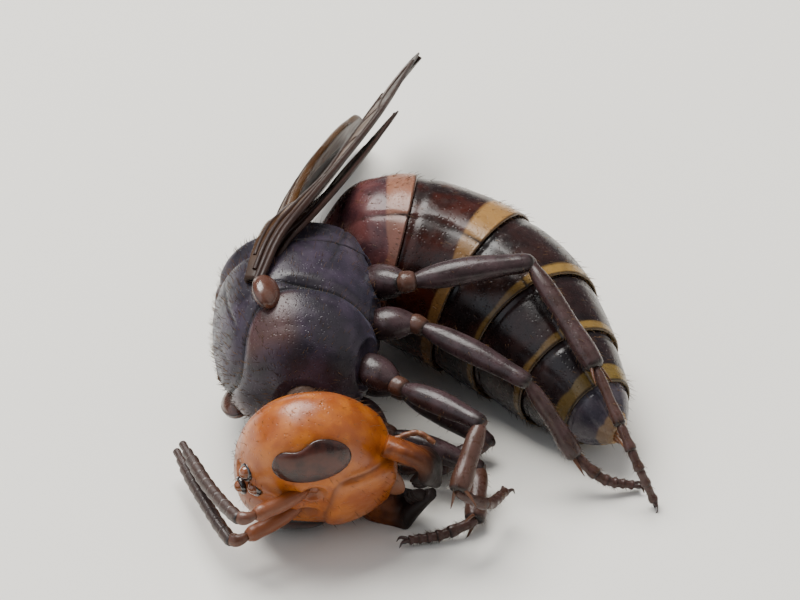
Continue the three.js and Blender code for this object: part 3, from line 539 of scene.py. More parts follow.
# Feelers: a long first joint from the pit in the face, a bead at the elbow, then a whip of ten short
# drums, each a little wider at its outer end. The first joint is orange-brown, the whip dark brown.
SCAPE_LONG, SCAPE_RINGS = 3.9, 70
SCAPE_ROOT = [(0, 0.42), (0.07, 0.44), (0.12, 0.26), (0.22, 0.34)]
FEELER_WAYS = {
    "left": ((0.46, 0.06, 0.88), (-0.75, -0.60, 0.30), (-0.84, -0.54, 0.10)),
    "right": ((0.46, -0.14, 0.87), (-0.84, -0.48, 0.30), (-0.86, -0.50, 0.10)),
}
WHIP_LONG, WHIP_THICK, DRUMS, DRUM_LAP = 9.2, 0.375, 10, 1.04
WHIP_STEPS, WHIP_SKIPS, WHIP_SHORT = 200, 13, 3
feeler_finish = Finish("feeler_shell", Coat_Weight=0.2, Coat_Roughness=0.25)
feeler_tone = feeler_finish.mix(feeler_finish.noise(0.0006), (0.045, 0.016, 0.008), (0.016, 0.008, 0.006))
feeler_tone = feeler_finish.over(feeler_tone, warm=(0.19, 0.044, 0.004), joint=PITCH)
feeler_finish.wear(feeler_tone, feeler_finish.rough(0.0003, 0.35, 0.55),
                   feeler_finish.pits(0.00007).ramp(0, 0.5) + feeler_finish.noise(0.0002) * 0.4, 0.000008)


class Growth(Wiring):
    """A Geometry Nodes tree with named inputs, run on a piece and kept as plain mesh."""

    def __init__(self, name, **inputs):
        super().__init__(bpy.data.node_groups.new(name, "GeometryNodeTree"))
        for key, kind in dict(Geometry="Geometry", **inputs).items():
            self.tree.interface.new_socket(key, in_out="INPUT", socket_type="NodeSocket" + kind)
        self.tree.interface.new_socket("Geometry", in_out="OUTPUT", socket_type="NodeSocketGeometry")
        self.inputs = self.tree.nodes.new("NodeGroupInput")

    def given(self, name):
        return Wire(self, self.inputs.outputs[name])

    def vector(self, x, y, z):
        return self.node("ShaderNodeCombineXYZ", {}, {0: x, 1: y, 2: z})

    def part_of(self, vector, axis):
        return self.node("ShaderNodeSeparateXYZ", {}, {0: vector}, axis)

    def added(self, first, second):
        return self.node("ShaderNodeVectorMath", {"operation": "ADD"}, {0: first, 1: second})

    def scaled(self, vector, factor):
        return self.node("ShaderNodeVectorMath", {"operation": "SCALE"}, {0: vector, 3: factor})

    def read(self, name, kind="FLOAT"):
        """What each point carries under a name."""
        return self.node("GeometryNodeInputNamedAttribute", {"data_type": kind}, {"Name": name})

    def store(self, geometry, name, value, kind="FLOAT", domain="POINT"):
        return self.node("GeometryNodeStoreNamedAttribute", {"data_type": kind, "domain": domain},
                         {"Geometry": geometry, "Name": name, "Value": value})

    def close(self, geometry):
        plain = self.node("GeometryNodeRealizeInstances", {}, {"Geometry": geometry})
        smooth = self.node("GeometryNodeSetShadeSmooth", {}, {"Geometry": plain})
        dressed = self.node("GeometryNodeSetMaterial", {}, {
            "Geometry": smooth, "Material": self.given("Material")})
        self.put(self.tree.nodes.new("NodeGroupOutput").inputs["Geometry"], dressed)

    def grow(self, name, source, **values):
        """Runs the tree on a copy of a mesh and returns the plain mesh as a new object."""
        seed = bpy.data.objects.new(name, source.copy())
        bpy.context.scene.collection.objects.link(seed)
        modifier = seed.modifiers.new("growth", "NODES")
        modifier.node_group = self.tree
        for item in self.tree.interface.items_tree:
            if item.in_out == "INPUT" and item.name in values:
                modifier[item.identifier] = values[item.name]
        mesh = bpy.data.meshes.new_from_object(seed.evaluated_get(bpy.context.evaluated_depsgraph_get()))
        seed.modifiers.remove(modifier)
        seed.data = mesh
        return seed


drum_row = Growth("drum_row", Count="Int", Long="Float", Thick="Float", Material="Material")
route = drum_row.node("GeometryNodeMeshToCurve", {}, {"Mesh": drum_row.given("Geometry")})
stops = drum_row.node("GeometryNodeResampleCurve", {}, {"Curve": route, "Count": drum_row.given("Count")})
way = drum_row.node("GeometryNodeInputTangent")
facing = drum_row.node("FunctionNodeAlignRotationToVector", {"axis": "Z"}, {"Vector": way})
drum = drum_row.node("GeometryNodeMeshCylinder", {"fill_type": "TRIANGLE_FAN"},
                     {"Vertices": 28, "Side Segments": 16, "Fill Segments": 1, "Radius": 1.0, "Depth": 1.0})
spot = drum_row.node("GeometryNodeInputPosition")
height = drum_row.part_of(spot, 2)
narrow = (height.ramp(-0.5, -0.30, 0.76, 0.93) + height.ramp(-0.3, 0.42, 0.0, 0.10)
          - height.ramp(0.43, 0.5, 0.0, 0.22))
shaped = drum_row.node("GeometryNodeSetPosition", {}, {
    "Geometry": drum, "Position": drum_row.vector(drum_row.part_of(spot, 0) * narrow,
                                                  drum_row.part_of(spot, 1) * narrow, height)})
seam = height.ramp(-0.5, -0.36, 1.0, 0.0) + height.ramp(0.45, 0.5)
marked = drum_row.store(shaped, "joint", seam)
number = drum_row.node("GeometryNodeInputIndex")
taper = (number / (drum_row.given("Count") - 1)).ramp(0.7, 1.05, 1.0, 0.55)
wide = drum_row.given("Thick") * taper
placed = drum_row.node("GeometryNodeInstanceOnPoints", {}, {
    "Points": stops, "Instance": marked, "Rotation": facing,
    "Scale": drum_row.vector(wide, wide, drum_row.given("Long"))})
drum_row.close(placed)


def path_mesh(name, points, setting, breaks=()):
    """A thin line of edges in metres for a growth to follow, broken before the points in breaks."""
    mesh = bpy.data.meshes.new(name)
    links = [(k, k + 1) for k in range(len(points) - 1) if k + 1 not in breaks]
    mesh.from_pydata((into_world(points, setting) * MM).tolist(), links, [])
    return mesh


for side, hand in SIDES:
    aim, first, second = (unit(np.array(w)) for w in FEELER_WAYS[side])
    root = head_point((2.6, hand * PIT_SIDE, 0.3), -0.3)
    elbow = root + aim * SCAPE_LONG
    scape = tube([root - aim * 0.15, root * 0.5 + elbow * 0.5 + (0.12, 0, 0), elbow], (0, 1, 0.2),
                 SCAPE_ROOT + [(0.8, 0.45), (0.95, 0.42), (1, 0.30)],
                 SCAPE_ROOT + [(0.8, 0.43), (0.95, 0.40), (1, 0.30)], SCAPE_RINGS, 36)
    start = elbow + aim * 0.3
    middle = start + first * WHIP_LONG / 2
    end = middle + second * WHIP_LONG / 2
    turn = start + aim * 0.5 + first * 0.6
    bead = tube([elbow - aim * 0.1, start + aim * 0.22 + first * 0.12, turn], (0, 1, 0.2),
                [(0, 0.20), (0.35, 0.30), (0.8, 0.36), (1, 0.28)], None, 24, 28)
    warm = np.linspace(1, 0.75, SCAPE_RINGS)[:, None]
    scape = shell(f"feeler_base_{side}", scape, HEAD_SET, {"warm": warm, "joint": 0.0},
                  finish=feeler_finish)
    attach(scape, "root")
    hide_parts(f"antenna_{side}_scape")
    # The line starts past the bead and stops half a drum from both ends, and a little short of the tip
    line = stroll([start, turn, middle, end], WHIP_STEPS)[0][WHIP_SKIPS:]
    half = int(len(line) / DRUMS / 2)
    line = path_mesh("whip_line", line[half:-half - WHIP_SHORT], HEAD_SET)
    whip = drum_row.grow(f"feeler_whip_{side}", line, Count=DRUMS, Long=WHIP_LONG * DRUM_LAP * MM / DRUMS,
                         Thick=WHIP_THICK * MM, Material=feeler_finish.material)
    bead = shell("elbow_bead", bead, HEAD_SET, {"warm": 0.35, "joint": 0.0}, finish=feeler_finish)
    join([whip, bead])
    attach(whip, "root")
    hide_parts(f"antenna_{side}_whip")

# Thorax: the hard dark box that carries legs and wings. Its plates are the collar, the shield of the
# back with faint furrows, the raised scutellum and the plate behind it, and the sloping rear.
# Nearly black, with a slate-blue bloom from very short hair.
SOCKETS = {
    "fore_left": (3.9, 1.5, -3.5), "fore_right": (3.9, -1.5, -3.5), "middle_left": (0.8, 1.8, -3.9),
    "middle_right": (0.8, -1.8, -3.9), "hind_left": (-2.5, 1.9, -3.6), "hind_right": (-2.2, -2.2, -3.3)}
# Stations from rear to front: place, half width, top and bottom
THORAX = np.array([
    (-6.3, 1.5, -0.3, -2.5), (-5.7, 2.7, 1.2, -3.3), (-4.5, 3.45, 2.75, -3.9), (-3.3, 3.85, 3.75, -4.25),
    (-1.7, 4.25, 4.25, -4.45), (0.4, 4.4, 4.35, -4.5), (2.4, 4.3, 4.1, -4.35), (4.1, 3.8, 3.4, -3.9),
    (5.3, 2.9, 2.4, -3.1), (6.0, 1.5, 1.1, -1.8)])
thorax_finish = Finish("slate_shell", Specular_IOR_Level=0.32, Coat_Weight=0.10, Coat_Roughness=0.25,
                       Sheen_Weight=0.08, Sheen_Roughness=0.45, Sheen_Tint=(0.50, 0.60, 0.85, 1))
thorax_tone = thorax_finish.tones(0.0014, (0.012, 0.008, 0.013), (0.035, 0.023, 0.038), 4)
# The near-black on the seams and furrows between the plates is painted shade.
thorax_tone = thorax_finish.over(thorax_tone, warm=(0.16, 0.050, 0.014), groove=(0.006, 0.005, 0.005))
thorax_finish.wear(
    thorax_tone, thorax_finish.rough(0.0006, 0.28, 0.46),
    thorax_finish.pits(0.00020).ramp(0.0, 0.35) + thorax_finish.noise(0.00009, 2) * 0.3, 0.000020)


def power(value, exponent):
    return np.sign(value) * np.abs(value) ** exponent


x = np.linspace(THORAX[0, 0], THORAX[-1, 0], 250)[:, None]
angle = circle(260)[None, :]
y, z = power(np.cos(angle), 0.86), power(np.sin(angle), 0.86)
wide, top, bottom = (curve(THORAX[:, (0, k)], x) for k in (1, 2, 3))
high_up = step(z, 0.2, 0.7)
flank = 1 - high_up
collar_line = x - 4.6 + 3.1 * np.abs(y) ** 2
seams = (0.24 * high_up * (bell(x + 1.9, 0.40) + bell(x + 3.7, 0.35))
         + 0.20 * bell(collar_line, 0.45) * step(z, -0.4, 0.3) + 0.20 * flank * bell(x - 1.4 + 0.5 * z, 0.40))
fine = (high_up * (bell(x + 1.9 - 0.5 * y ** 2, 0.07) + bell(x + 3.7 - 0.3 * y ** 2, 0.06)
                   + bell(x + 4.75, 0.06))
        + bell(collar_line, 0.07) * step(z, -0.4, 0.3) + flank * bell(x - 1.4 + 0.5 * z, 0.07)
        + flank * bell(x + 2.7 - 0.9 * z, 0.06)
        + 0.7 * flank * bell(z + 0.2 - 0.05 * x, 0.03) * step(-x, -1.2, 2.4))
notch = (bell(np.abs(y) - 0.34 - 0.03 * (x + 1.5), 0.020) * step(x, -1.4, -0.6) * step(-x, -3.3, -2.4)
         + 0.7 * bell(y, 0.015) * step(x, 0.6, 1.6) * step(-x, -4.2, -3.6)
         + 0.7 * bell(np.abs(y) - 0.78, 0.018) * step(x, -1.5, -0.8) * step(-x, -2.0, -1.0)) * high_up
hump = high_up * (0.26 * bell(x + 2.8, 0.62) * (1 - 0.45 * bell(y, 0.10)) + 0.16 * bell(x + 4.2, 0.36))
rear = step(-x, 4.9, 5.5)
ribs = rear * (0.035 * np.sin(x * 26) * step(np.abs(y), 0.1, 0.4) - 0.16 * bell(y, 0.10) * high_up)
swell = -seams - 0.11 * fine - 0.06 * notch + hump + ribs
half = (top - bottom) / 2 + swell
rings = np.stack([x + 0 * y, (wide + swell) * y, (top + bottom) / 2 + half * z], -1)
for socket in SOCKETS.values():
    away = np.linalg.norm(rings - np.array(socket), axis=-1)
    outward = unit(rings - np.stack([x + 0 * y, 0 * (x + y), 0 * (x + y) - 0.2], -1))
    rings = rings + outward * (0.10 * bell(away - 1.45, 0.18) - 0.16 * bell(away, 1.1))[..., None]
warm = (0.25 * step(collar_line, 0.05, 0.6) * step(np.abs(y), 0.2, 0.6) * step(z, 0.1, 0.5)
        * step(-x, -5.6, -4.6))
thorax = shell("thorax_box", rings, LIES, {
    "warm": np.clip(warm, 0, 1), "groove": np.clip(fine + 0.8 * notch, 0, 1),
    "hairy": 0.3 + 0.7 * high_up + 0.5 * rear}, finish=thorax_finish)
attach(thorax, "root")
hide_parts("thorax")

# Neck: a short soft collar, ringed with folds, from the thorax into the hollow back of the head.
NECK_END = np.array(LIES.inverted() @ HEAD_SET @ Vector(HEAD_MIDDLE))
neck = tube([(4.6, 0, -0.4), (6.2, 0, -0.5), NECK_END], (0, 1, 0),
            [(0, 1.25), (0.35, 1.05), (1, 1.0)], [(0, 1.15), (0.35, 0.95), (1, 0.95)], 70, 60,
            lambda s, a: 1 + 0.05 * np.sin(70 * s + 1.5 * np.cos(a)))
neck_finish = Finish("joint_skin", Roughness=0.55, Coat_Weight=0.1)
neck_finish.wear(neck_finish.mix(neck_finish.noise(0.0003), (0.045, 0.022, 0.013), (0.11, 0.055, 0.028)),
                 None, neck_finish.noise(0.00008), 0.00001)
neck = shell("neck_collar", neck, LIES, finish=neck_finish)
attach(neck, "root")
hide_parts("neck")

# Wing-root scales: a small domed chestnut plate over the root of each pair of wings.
SCALE_LONG, SCALE_THICK, SCALE_WIDE = 1.15, 0.6, 0.85
scale_finish = Finish("scale_shell", Coat_Weight=0.5, Coat_Roughness=0.15)
scale_finish.wear(scale_finish.over((0.075, 0.024, 0.011), rim=(0.022, 0.009, 0.006)),
                  scale_finish.rough(0.0003, 0.22, 0.38), scale_finish.pits(0.00018).ramp(0, 0.4), 0.000012)
for side, hand in SIDES:
    way = ball(50, 64)
    rim = bell(way[..., 2] + 0.15, 0.10)
    flat = way[..., (0, 2, 1)] * (SCALE_LONG, hand * SCALE_THICK, SCALE_WIDE) * (1 + 0.05 * rim)[..., None]
    tilt = np.array(Matrix.Rotation(hand * -0.5, 3, "X"))
    plate = shell(f"wing_scale_{side}", flat @ tilt.T + (2.2, hand * 3.95, 2.35), LIES, {"rim": rim},
                  finish=scale_finish)
    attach(plate, "root")
    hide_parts(f"tegula_{side}")

# Abdomen: six rings that slide one under the next, each a back plate lapped over a belly plate at the
# flank. Dark shining brown, with a pale band along the hind edge of each back plate. The whole curls
# under the body and carries the waist, a short stalk, in front.
SEGMENTS = [4.2, 5.1, 4.2, 3.5, 2.9, 2.1]
WAIST_AT = np.array((-7.0, 0, -1.2))
BEND_FROM, BEND_TO, BEND_LONG = math.radians(75), math.radians(148), 14
FLATTER, TUCK, STALK_IN, STING_FROM = 0.91, 0.75, 1.6, 21.6
GIRTH = [(0, 0.9), (0.5, 1.7), (1.4, 3.2), (3.0, 4.2), (7.5, 4.8), (12, 4.6), (15.8, 3.7), (18.5, 2.75),
         (20.6, 1.75), (22, 0.6)]
# For each ring: two base colours, the band's colour, its share of the ring and how far it wavers
RING_LOOKS = [
    ((0.030, 0.011, 0.014), (0.100, 0.034, 0.032), (0.23, 0.098, 0.058), 0.26, 0.10),
    ((0.010, 0.003, 0.002), (0.040, 0.006, 0.002), (0.28, 0.148, 0.045), 0.22, 0.09),
    ((0.007, 0.004, 0.004), (0.024, 0.009, 0.007), (0.24, 0.14, 0.035), 0.10, 0.04),
    ((0.007, 0.004, 0.004), (0.022, 0.009, 0.008), (0.20, 0.12, 0.030), 0.09, 0.04),
    ((0.009, 0.006, 0.007), (0.026, 0.013, 0.012), (0.17, 0.11, 0.025), 0.24, 0.07),
    ((0.028, 0.025, 0.036), (0.065, 0.052, 0.064), (0.30, 0.18, 0.07), 0.26, 0.05),
]


def belly_line(distance):
    """Places, ways and outward ways of the abdomen's bent middle line."""
    distance = np.asarray(distance, float)
    radius = BEND_LONG / (BEND_TO - BEND_FROM)
    bent = np.minimum(distance, BEND_LONG)
    tilt = BEND_FROM + bent / radius
    rest = distance - bent
    back = radius * (np.sin(tilt) - math.sin(BEND_FROM)) + rest * np.cos(tilt)
    down = radius * (math.cos(BEND_FROM) - np.cos(tilt)) + rest * np.sin(tilt)
    none = np.zeros_like(tilt)
    return (np.stack([WAIST_AT[0] - back, none, WAIST_AT[2] - down], -1),
            np.stack([-np.cos(tilt), none, -np.sin(tilt)], -1),
            np.stack([-np.sin(tilt), none, np.cos(tilt)], -1))


angle = circle(200)[None, :]
reached = 0
for k, long in enumerate(SEGMENTS):
    last = k == len(SEGMENTS) - 1
    tuck = TUCK if k else 0.0
    inner = np.array([[-tuck, -0.62], [-tuck * 0.6, -0.36]]) if k else np.zeros((0, 2))
    body = np.linspace(0.0 if k == 0 else -tuck * 0.2, long, 46)
    lip = 0.10 * (body / long) if k == 0 else -0.16 + 0.27 * np.sqrt(np.clip(body / long, 0, 1))
    if last:
        lip = lip * (1 - np.clip(body / long, 0, 1))
    stations = np.concatenate([inner, np.stack([body, lip], 1)])
    if not last:
        edge = lip[-1]
        stations = np.concatenate([stations, [[long + 0.12, edge + 0.02], [long + 0.18, edge - 0.03],
                                              [long + 0.16, edge - 0.12], [long - 0.1, edge - 0.26]]])
    s, rise = stations[:, :1], stations[:, 1:]
    place, aim, out = belly_line(reached + s[:, 0])
    girth = curve(GIRTH, np.clip(reached + s, 0, GIRTH[-1][0]))
    high = np.sin(angle)
    plate = step(high + 0.36 - 0.05 * np.sin(3 * s / long), -0.012, 0.012)
    share = np.clip(s / long, 0, 1)
    relief = (0.055 * plate - 0.05 * bell(high + 0.39, 0.03) * share
              - 0.05 * bell(share - 0.14, 0.05) * (k > 0) + 0.012 * np.sin(5 * angle + k) * share)
    wide = np.maximum(girth + rise + relief * (girth > 1), 0.05)
    rings = (place[:, None, :] + (wide * power(np.cos(angle), 0.952))[..., None] * np.array((0, 1.0, 0))
             + (wide * FLATTER * power(np.sin(angle), 0.952))[..., None] * out[:, None, :])
    dark, warm, pale, band_share, waver = RING_LOOKS[k]
    wave = waver * (np.cos(2 * angle + math.pi) * 0.4 + 0.9 * bell(np.abs(np.cos(angle)) - 0.62, 0.16))
    fade = 1 - 0.55 * step(-high, 0.1, 0.6)
    band = step(share - (1 - band_share) - wave, -0.015, 0.02) * fade
    finish = Finish(f"belly_ring_{k + 1}", Specular_IOR_Level=0.26, Coat_Weight=0.12, Coat_Roughness=0.18)
    tone = finish.tones(0.0016, dark, warm, 4, high=0.68)
    tone = finish.mix(finish.mark("band") * finish.noise(0.0007, 4).ramp(0.2, 0.5, 0.75, 1.0), tone, pale)
    finish.wear(finish.over(tone, groove=PITCH), finish.rough(0.0005, 0.20, 0.36),
                finish.pits(0.00022).ramp(0.0, 0.35) + finish.noise(0.00010, 2) * 0.2, 0.000014)
    # Near black along the sunk seam where the back plate laps the belly plate and under each ring's curled
    # hind lip: painted shade.
    groove = np.clip(bell(high + 0.37, 0.02) * share + bell(s - long - 0.14, 0.05), 0, 1)
    ring = shell(f"belly_ring_{k + 1}", rings, LIES, {
        "band": band, "groove": groove, "hairy": 0.25 + 0.75 * step(share, 0.5, 0.95)}, finish=finish)
    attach(ring, "root")
    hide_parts(f"abdomen_{k + 1}")
    reached += long

stalk_end = belly_line(np.array([STALK_IN]))[0][0]
waist = tube([(-4.9, 0, -1.2), WAIST_AT + (0.1, 0, 0), stalk_end], (0, 1, 0),
             [(0, 1.0), (0.4, 0.80), (0.6, 0.82), (1, 1.2)], [(0, 0.95), (0.4, 0.78), (0.6, 0.80), (1, 1.1)],
             70, 60, lambda s, a: 1 + 0.03 * np.sin(60 * s))
waist = shell("waist_stalk", waist, LIES, finish=neck_finish)
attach(waist, "root")
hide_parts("waist")

# Sting: a fine hard spike between two short sheath lobes at the end of the last ring.
sting_finish = Finish("sting_horn", Coat_Weight=0.6, Coat_Roughness=0.1)
sting_finish.wear(sting_finish.mix(sting_finish.noise(0.0002), (0.10, 0.030, 0.010), (0.30, 0.12, 0.035)),
                  sting_finish.rough(0.0002, 0.2, 0.35), sting_finish.noise(0.00006), 0.000004)
tail, aim, out = (v[0] for v in belly_line(np.array([STING_FROM])))
spike = tube([tail, tail + aim * 0.9, tail + aim * 1.75 - out * 0.15], (0, 1, 0),
             [(0, 0.26), (0.4, 0.17), (0.8, 0.08), (1, 0.015)], None, 40, 24)
parts = [shell("sting_spike", spike, LIES, finish=sting_finish)]
for hand in (1, -1):
    lobe = [tail + (0, hand * 0.20, 0), tail + aim * 0.5 + (0, hand * 0.26, 0) + out * 0.05,
            tail + aim * 0.95 + (0, hand * 0.16, 0) + out * 0.05]
    lobe = tube(lobe, (0, 1, 0), [(0, 0.14), (0.6, 0.13), (1, 0.04)],
                [(0, 0.20), (0.6, 0.18), (1, 0.05)], 20, 16)
    parts.append(shell("sheath", lobe, LIES, finish=sting_finish))
join(parts)
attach(parts[0], "root")
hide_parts("sting")

# Wings: thin smoky amber skins, darkest along the front edge. The fore wing is folded lengthwise, so a
# second leaf lies under the first behind a rounded crease; the hind wing lies under it. Stiff veins run
# in the skin and are joined by cross veins, with a dark spot two thirds of the way out.
SKIN_THIN, VEIN_THICK, FOLD_DEEP = 0.07, 0.20, 0.32
EDGE_STEPS, VEIN_STEPS = 400, 40
# Each side: its hand, its front edge from root to tip, and the ways across it at root and tip
WINGS = {
    "left": (1, [(1.3, 3.9, 2.6), (-1.6, 4.85, 1.7), (-5, 5.0, 0.1), (-16, 2.6, -4.0), (-27.8, -1.2, -7.4)],
             (0, -0.45, 0.89), (0, -0.92, 0.39)),
    "right": (-1, [(1.3, -3.9, 2.6), (-1.6, -4.75, 2.2), (-5, -4.9, 1.4), (-14.5, -5.6, 0.0),
                   (-25.7, -7.0, -4.4)], (0, 0.45, 0.89), (0, 0.99, -0.1)),
}
# Each form: its width along its length, the shares of the front edge where it starts and ends, and
# how far it lies below the fore wing
WING_FORMS = {
    "fore": ([(0, 1.0), (0.12, 1.5), (0.3, 3.0), (0.6, 4.1), (0.85, 3.6), (0.95, 2.4), (0.98, 1.5),
              (1, 0.15)], 0.0, 1.0, 0.0),
    "hind": ([(0, 1.0), (0.2, 2.0), (0.5, 3.8), (0.75, 4.0), (0.92, 2.6), (0.97, 1.7), (1, 0.15)],
             0.05, 0.70, 0.75),
}
# Veins as (share of the length, share of the width) and how thick they are beside the front one
VEINS = {
    "fore": [(1.0, [(0.0, 0.06), (0.3, 0.03), (0.65, 0.02), (0.92, 0.06)]),
             (0.9, [(0.0, 0.30), (0.2, 0.17), (0.45, 0.12), (0.62, 0.10), (0.66, 0.05)]),
             (0.7, [(0.62, 0.10), (0.74, 0.24), (0.86, 0.20), (0.92, 0.08)]),
             (0.8, [(0.02, 0.55), (0.2, 0.42), (0.36, 0.40), (0.52, 0.46), (0.70, 0.50), (0.84, 0.52)]),
             (0.6, [(0.36, 0.40), (0.34, 0.20), (0.30, 0.14)]),
             (0.6, [(0.05, 0.80), (0.2, 0.78), (0.4, 0.82), (0.6, 0.84), (0.75, 0.78)]),
             (0.5, [(0.40, 0.82), (0.43, 0.60), (0.41, 0.42)]),
             (0.5, [(0.60, 0.84), (0.63, 0.66), (0.60, 0.48)]),
             (0.5, [(0.52, 0.46), (0.54, 0.26), (0.52, 0.12)]),
             (0.5, [(0.64, 0.49), (0.66, 0.34), (0.68, 0.16)]),
             (0.5, [(0.74, 0.51), (0.77, 0.38), (0.76, 0.24)])],
    "hind": [(0.9, [(0.0, 0.08), (0.3, 0.04), (0.7, 0.03), (0.95, 0.10)]),
             (0.8, [(0.0, 0.35), (0.3, 0.22), (0.55, 0.20), (0.8, 0.22)]),
             (0.6, [(0.0, 0.65), (0.3, 0.52), (0.55, 0.55), (0.85, 0.60)]),
             (0.5, [(0.45, 0.53), (0.48, 0.36), (0.46, 0.20)]),
             (0.5, [(0.3, 0.52), (0.5, 0.76), (0.62, 0.92)])],
}


def wing_place(side, form, share, mark, rise=0.0):
    """A place on a wing: share of its length, share of its width, mm above its upper face."""
    hand, points, root, tip = WINGS[side]
    outline, start, end, sink = WING_FORMS[form]
    last = EDGE_STEPS - 1
    at = (start + (end - start) * np.asarray(share, float)) * last
    edge, back = (np.stack([np.interp(at, np.arange(EDGE_STEPS), line[:, k]) for k in range(3)], -1)
                  for line in stroll(points, EDGE_STEPS))
    back = unit(back)
    twist = step(at / last, 0.05, 0.4)[..., None]
    inward = np.array(root) * (1 - twist) + np.array(tip) * twist
    inward = unit(inward - back * (inward * back).sum(-1, keepdims=True))
    upper = unit(np.cross(back, inward)) * hand
    wide = curve(outline, np.asarray(share, float))
    arch = np.sin(math.pi * np.clip(mark, 0, 1))
    dome = 0.35 * arch * wide / 5
    ripple = 0.05 * np.sin(9 * share + 5 * mark) * arch * wide / 5
    rounded = 0.55 * np.clip((share - 0.92) / 0.08, 0, 1) ** 3
    above = rise - sink + dome + ripple
    return edge + inward * (rounded + wide * mark)[..., None] + upper * above[..., None]


vein_rods = Growth("vein_rods", Thick="Float", Material="Material")
route = vein_rods.node("GeometryNodeMeshToCurve", {}, {"Mesh": vein_rods.given("Geometry")})
stout = vein_rods.read("stout")
section = vein_rods.node("GeometryNodeCurvePrimitiveCircle", {}, {"Resolution": 8, "Radius": 1.0})
rod = vein_rods.node("GeometryNodeCurveToMesh", {}, {
    "Curve": route, "Profile Curve": section, "Fill Caps": True, "Scale": stout * vein_rods.given("Thick")})
vein_rods.close(rod)

wing_finish = Finish("wing_skin", Coat_Weight=0.05, Coat_Roughness=0.3, Specular_IOR_Level=0.2)
wing_tone = wing_finish.tones(0.0035, (0.065, 0.025, 0.006), (0.120, 0.052, 0.013), 1, 0.3)
wing_finish.wear(wing_finish.over(wing_tone, smoke=(0.013, 0.005, 0.003)),
                 wing_finish.rough(0.0008, 0.34, 0.48),
                 wing_finish.noise(0.0016, 1) + wing_finish.noise(0.0003, 1) * 0.1, 0.00003,
                 alpha=wing_finish.mark("smoke").ramp(0.0, 0.9, 0.60, 0.99))
vein_finish = Finish("wing_vein", Specular_IOR_Level=0.25)
vein_finish.wear(vein_finish.mix(vein_finish.noise(0.0008), (0.010, 0.004, 0.003), (0.034, 0.012, 0.006)),
                 vein_finish.rough(0.0004, 0.38, 0.52), vein_finish.noise(0.00008), 0.000004)
for side in WINGS:
    for form in WING_FORMS:
        share = np.linspace(0, 1, 120)[:, None]
        mark = np.linspace(0, 1, 40)[None, :]
        crease = np.linspace(0, math.pi, 9)[None, 1:-1]
        mark_row, rise_row = mark, 0 * mark
        if form == "fore":
            # The fold: round the crease and back under, a third of a millimetre down
            under = np.linspace(1, 0.42, 22)[None, :]
            mark_row = np.concatenate([mark, 1 + 0.02 * np.sin(crease), under], 1)
            bent = FOLD_DEEP / 2 * (np.cos(crease) - 1)
            rise_row = np.concatenate([0 * mark, bent, 0 * under - FOLD_DEEP], 1)
        mark_row, rise_row = mark_row + 0 * share, rise_row + 0 * share
        share = share + 0 * mark_row
        top = wing_place(side, form, share, mark_row, rise_row)
        across = unit(np.gradient(top, axis=1))
        away = unit(np.cross(unit(np.gradient(top, axis=0)), across)) * SKIN_THIN / 2
        rings = np.concatenate([top + away, (top - away)[:, ::-1]], 1)
        spot = bell(share - 0.66, 0.045) * bell(mark_row - 0.06, 0.06)
        smoke = (bell(mark_row - 0.02, 0.28) + 0.7 * bell(share - 1, 0.16) + 0.9 * step(-share, -0.14, 0.0)
                 + 0.8 * spot)
        smoke = np.clip(np.concatenate([smoke, smoke[:, ::-1]], 1), 0, 1)
        skin = shell(f"{form}_wing_skin_{side}", rings, LIES, {"smoke": smoke}, finish=wing_finish)
        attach(skin, "root")
        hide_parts(f"{form}_wing_{side}")
        lines, stout_marks = [], []
        for thick, turns in VEINS[form]:
            bends = stroll([(a, b, 0) for a, b in turns], VEIN_STEPS)[0]
            lines.append(wing_place(side, form, bends[:, 0], bends[:, 1], 0.02))
            stout_marks += list(thick * (1 - 0.45 * bends[:, 0]))
        seed = path_mesh("vein_lines", np.concatenate(lines), LIES, range(0, len(stout_marks), VEIN_STEPS))
        seed.attributes.new("stout", "FLOAT", "POINT").data.foreach_set("value", stout_marks)
        veins = vein_rods.grow(f"{form}_wing_veins_{side}", seed, Thick=VEIN_THICK * MM,
                               Material=vein_finish.material)
        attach(veins, "root")

# Legs: hip, a small ring joint, thigh, shin and a foot of five short joints that ends in two claws
# and a pad. Dark brown and shining, with darker knees and two spurs at the end of each shin. Each leg
# stands as one piece on its socket, and its foot is another.
FOOT_JOINTS = [0, 0.42, 0.60, 0.74, 0.86, 1]
# Each kind of leg: its thickness and how warm the shin's brown is
KINDS = {"fore": (0.95, 0.45), "middle": (0.95, 0.2), "hind": (1.05, 0.2)}
# Each leg: hip, knee, ankle, bend of the foot and toe, in mm from the floor under the thorax's middle
LEGS = {
    "fore_left": [(5.4, -5.4, 6.6), (9.9, -8.8, 6.6), (8.7, -12.2, 4.6), (10.2, -11.4, 3.2),
                  (11.2, -9.0, 2.2)],
    "fore_right": [(4.7, -4.9, 3.1), (9.9, -6.3, 1.7), (9.6, -9.7, 0.8), (7.9, -10.5, 0.5),
                   (6.1, -10.9, 0.42)],
    "middle_left": [(6.4, -1.2, 7.6), (12.4, -5.0, 6.5), (15.0, -5.9, 2.2), (16.5, -6.3, 1.0),
                    (18.1, -6.1, 0.45)],
    "middle_right": [(5.4, -0.8, 3.0), (10.4, -3.3, 1.2), (7.4, -5.0, 0.7), (5.6, -4.5, 0.42),
                     (3.9, -2.9, 0.38)],
    "hind_left": [(5.8, 0.7, 8.9), (12.6, 1.7, 9.5), (16.1, -3.4, 6.2), (18.0, -6.9, 3.2),
                  (19.2, -7.5, 0.42)],
    "hind_right": [(2.3, 3.6, 1.55), (-0.4, 10.3, 0.72), (7.4, 12.6, 0.55), (11.2, 10.9, 0.42),
                   (14.2, 8.3, 0.38)],
}
FLOOR_SET = Matrix.Translation((LIES_AT[0], LIES_AT[1], 0))
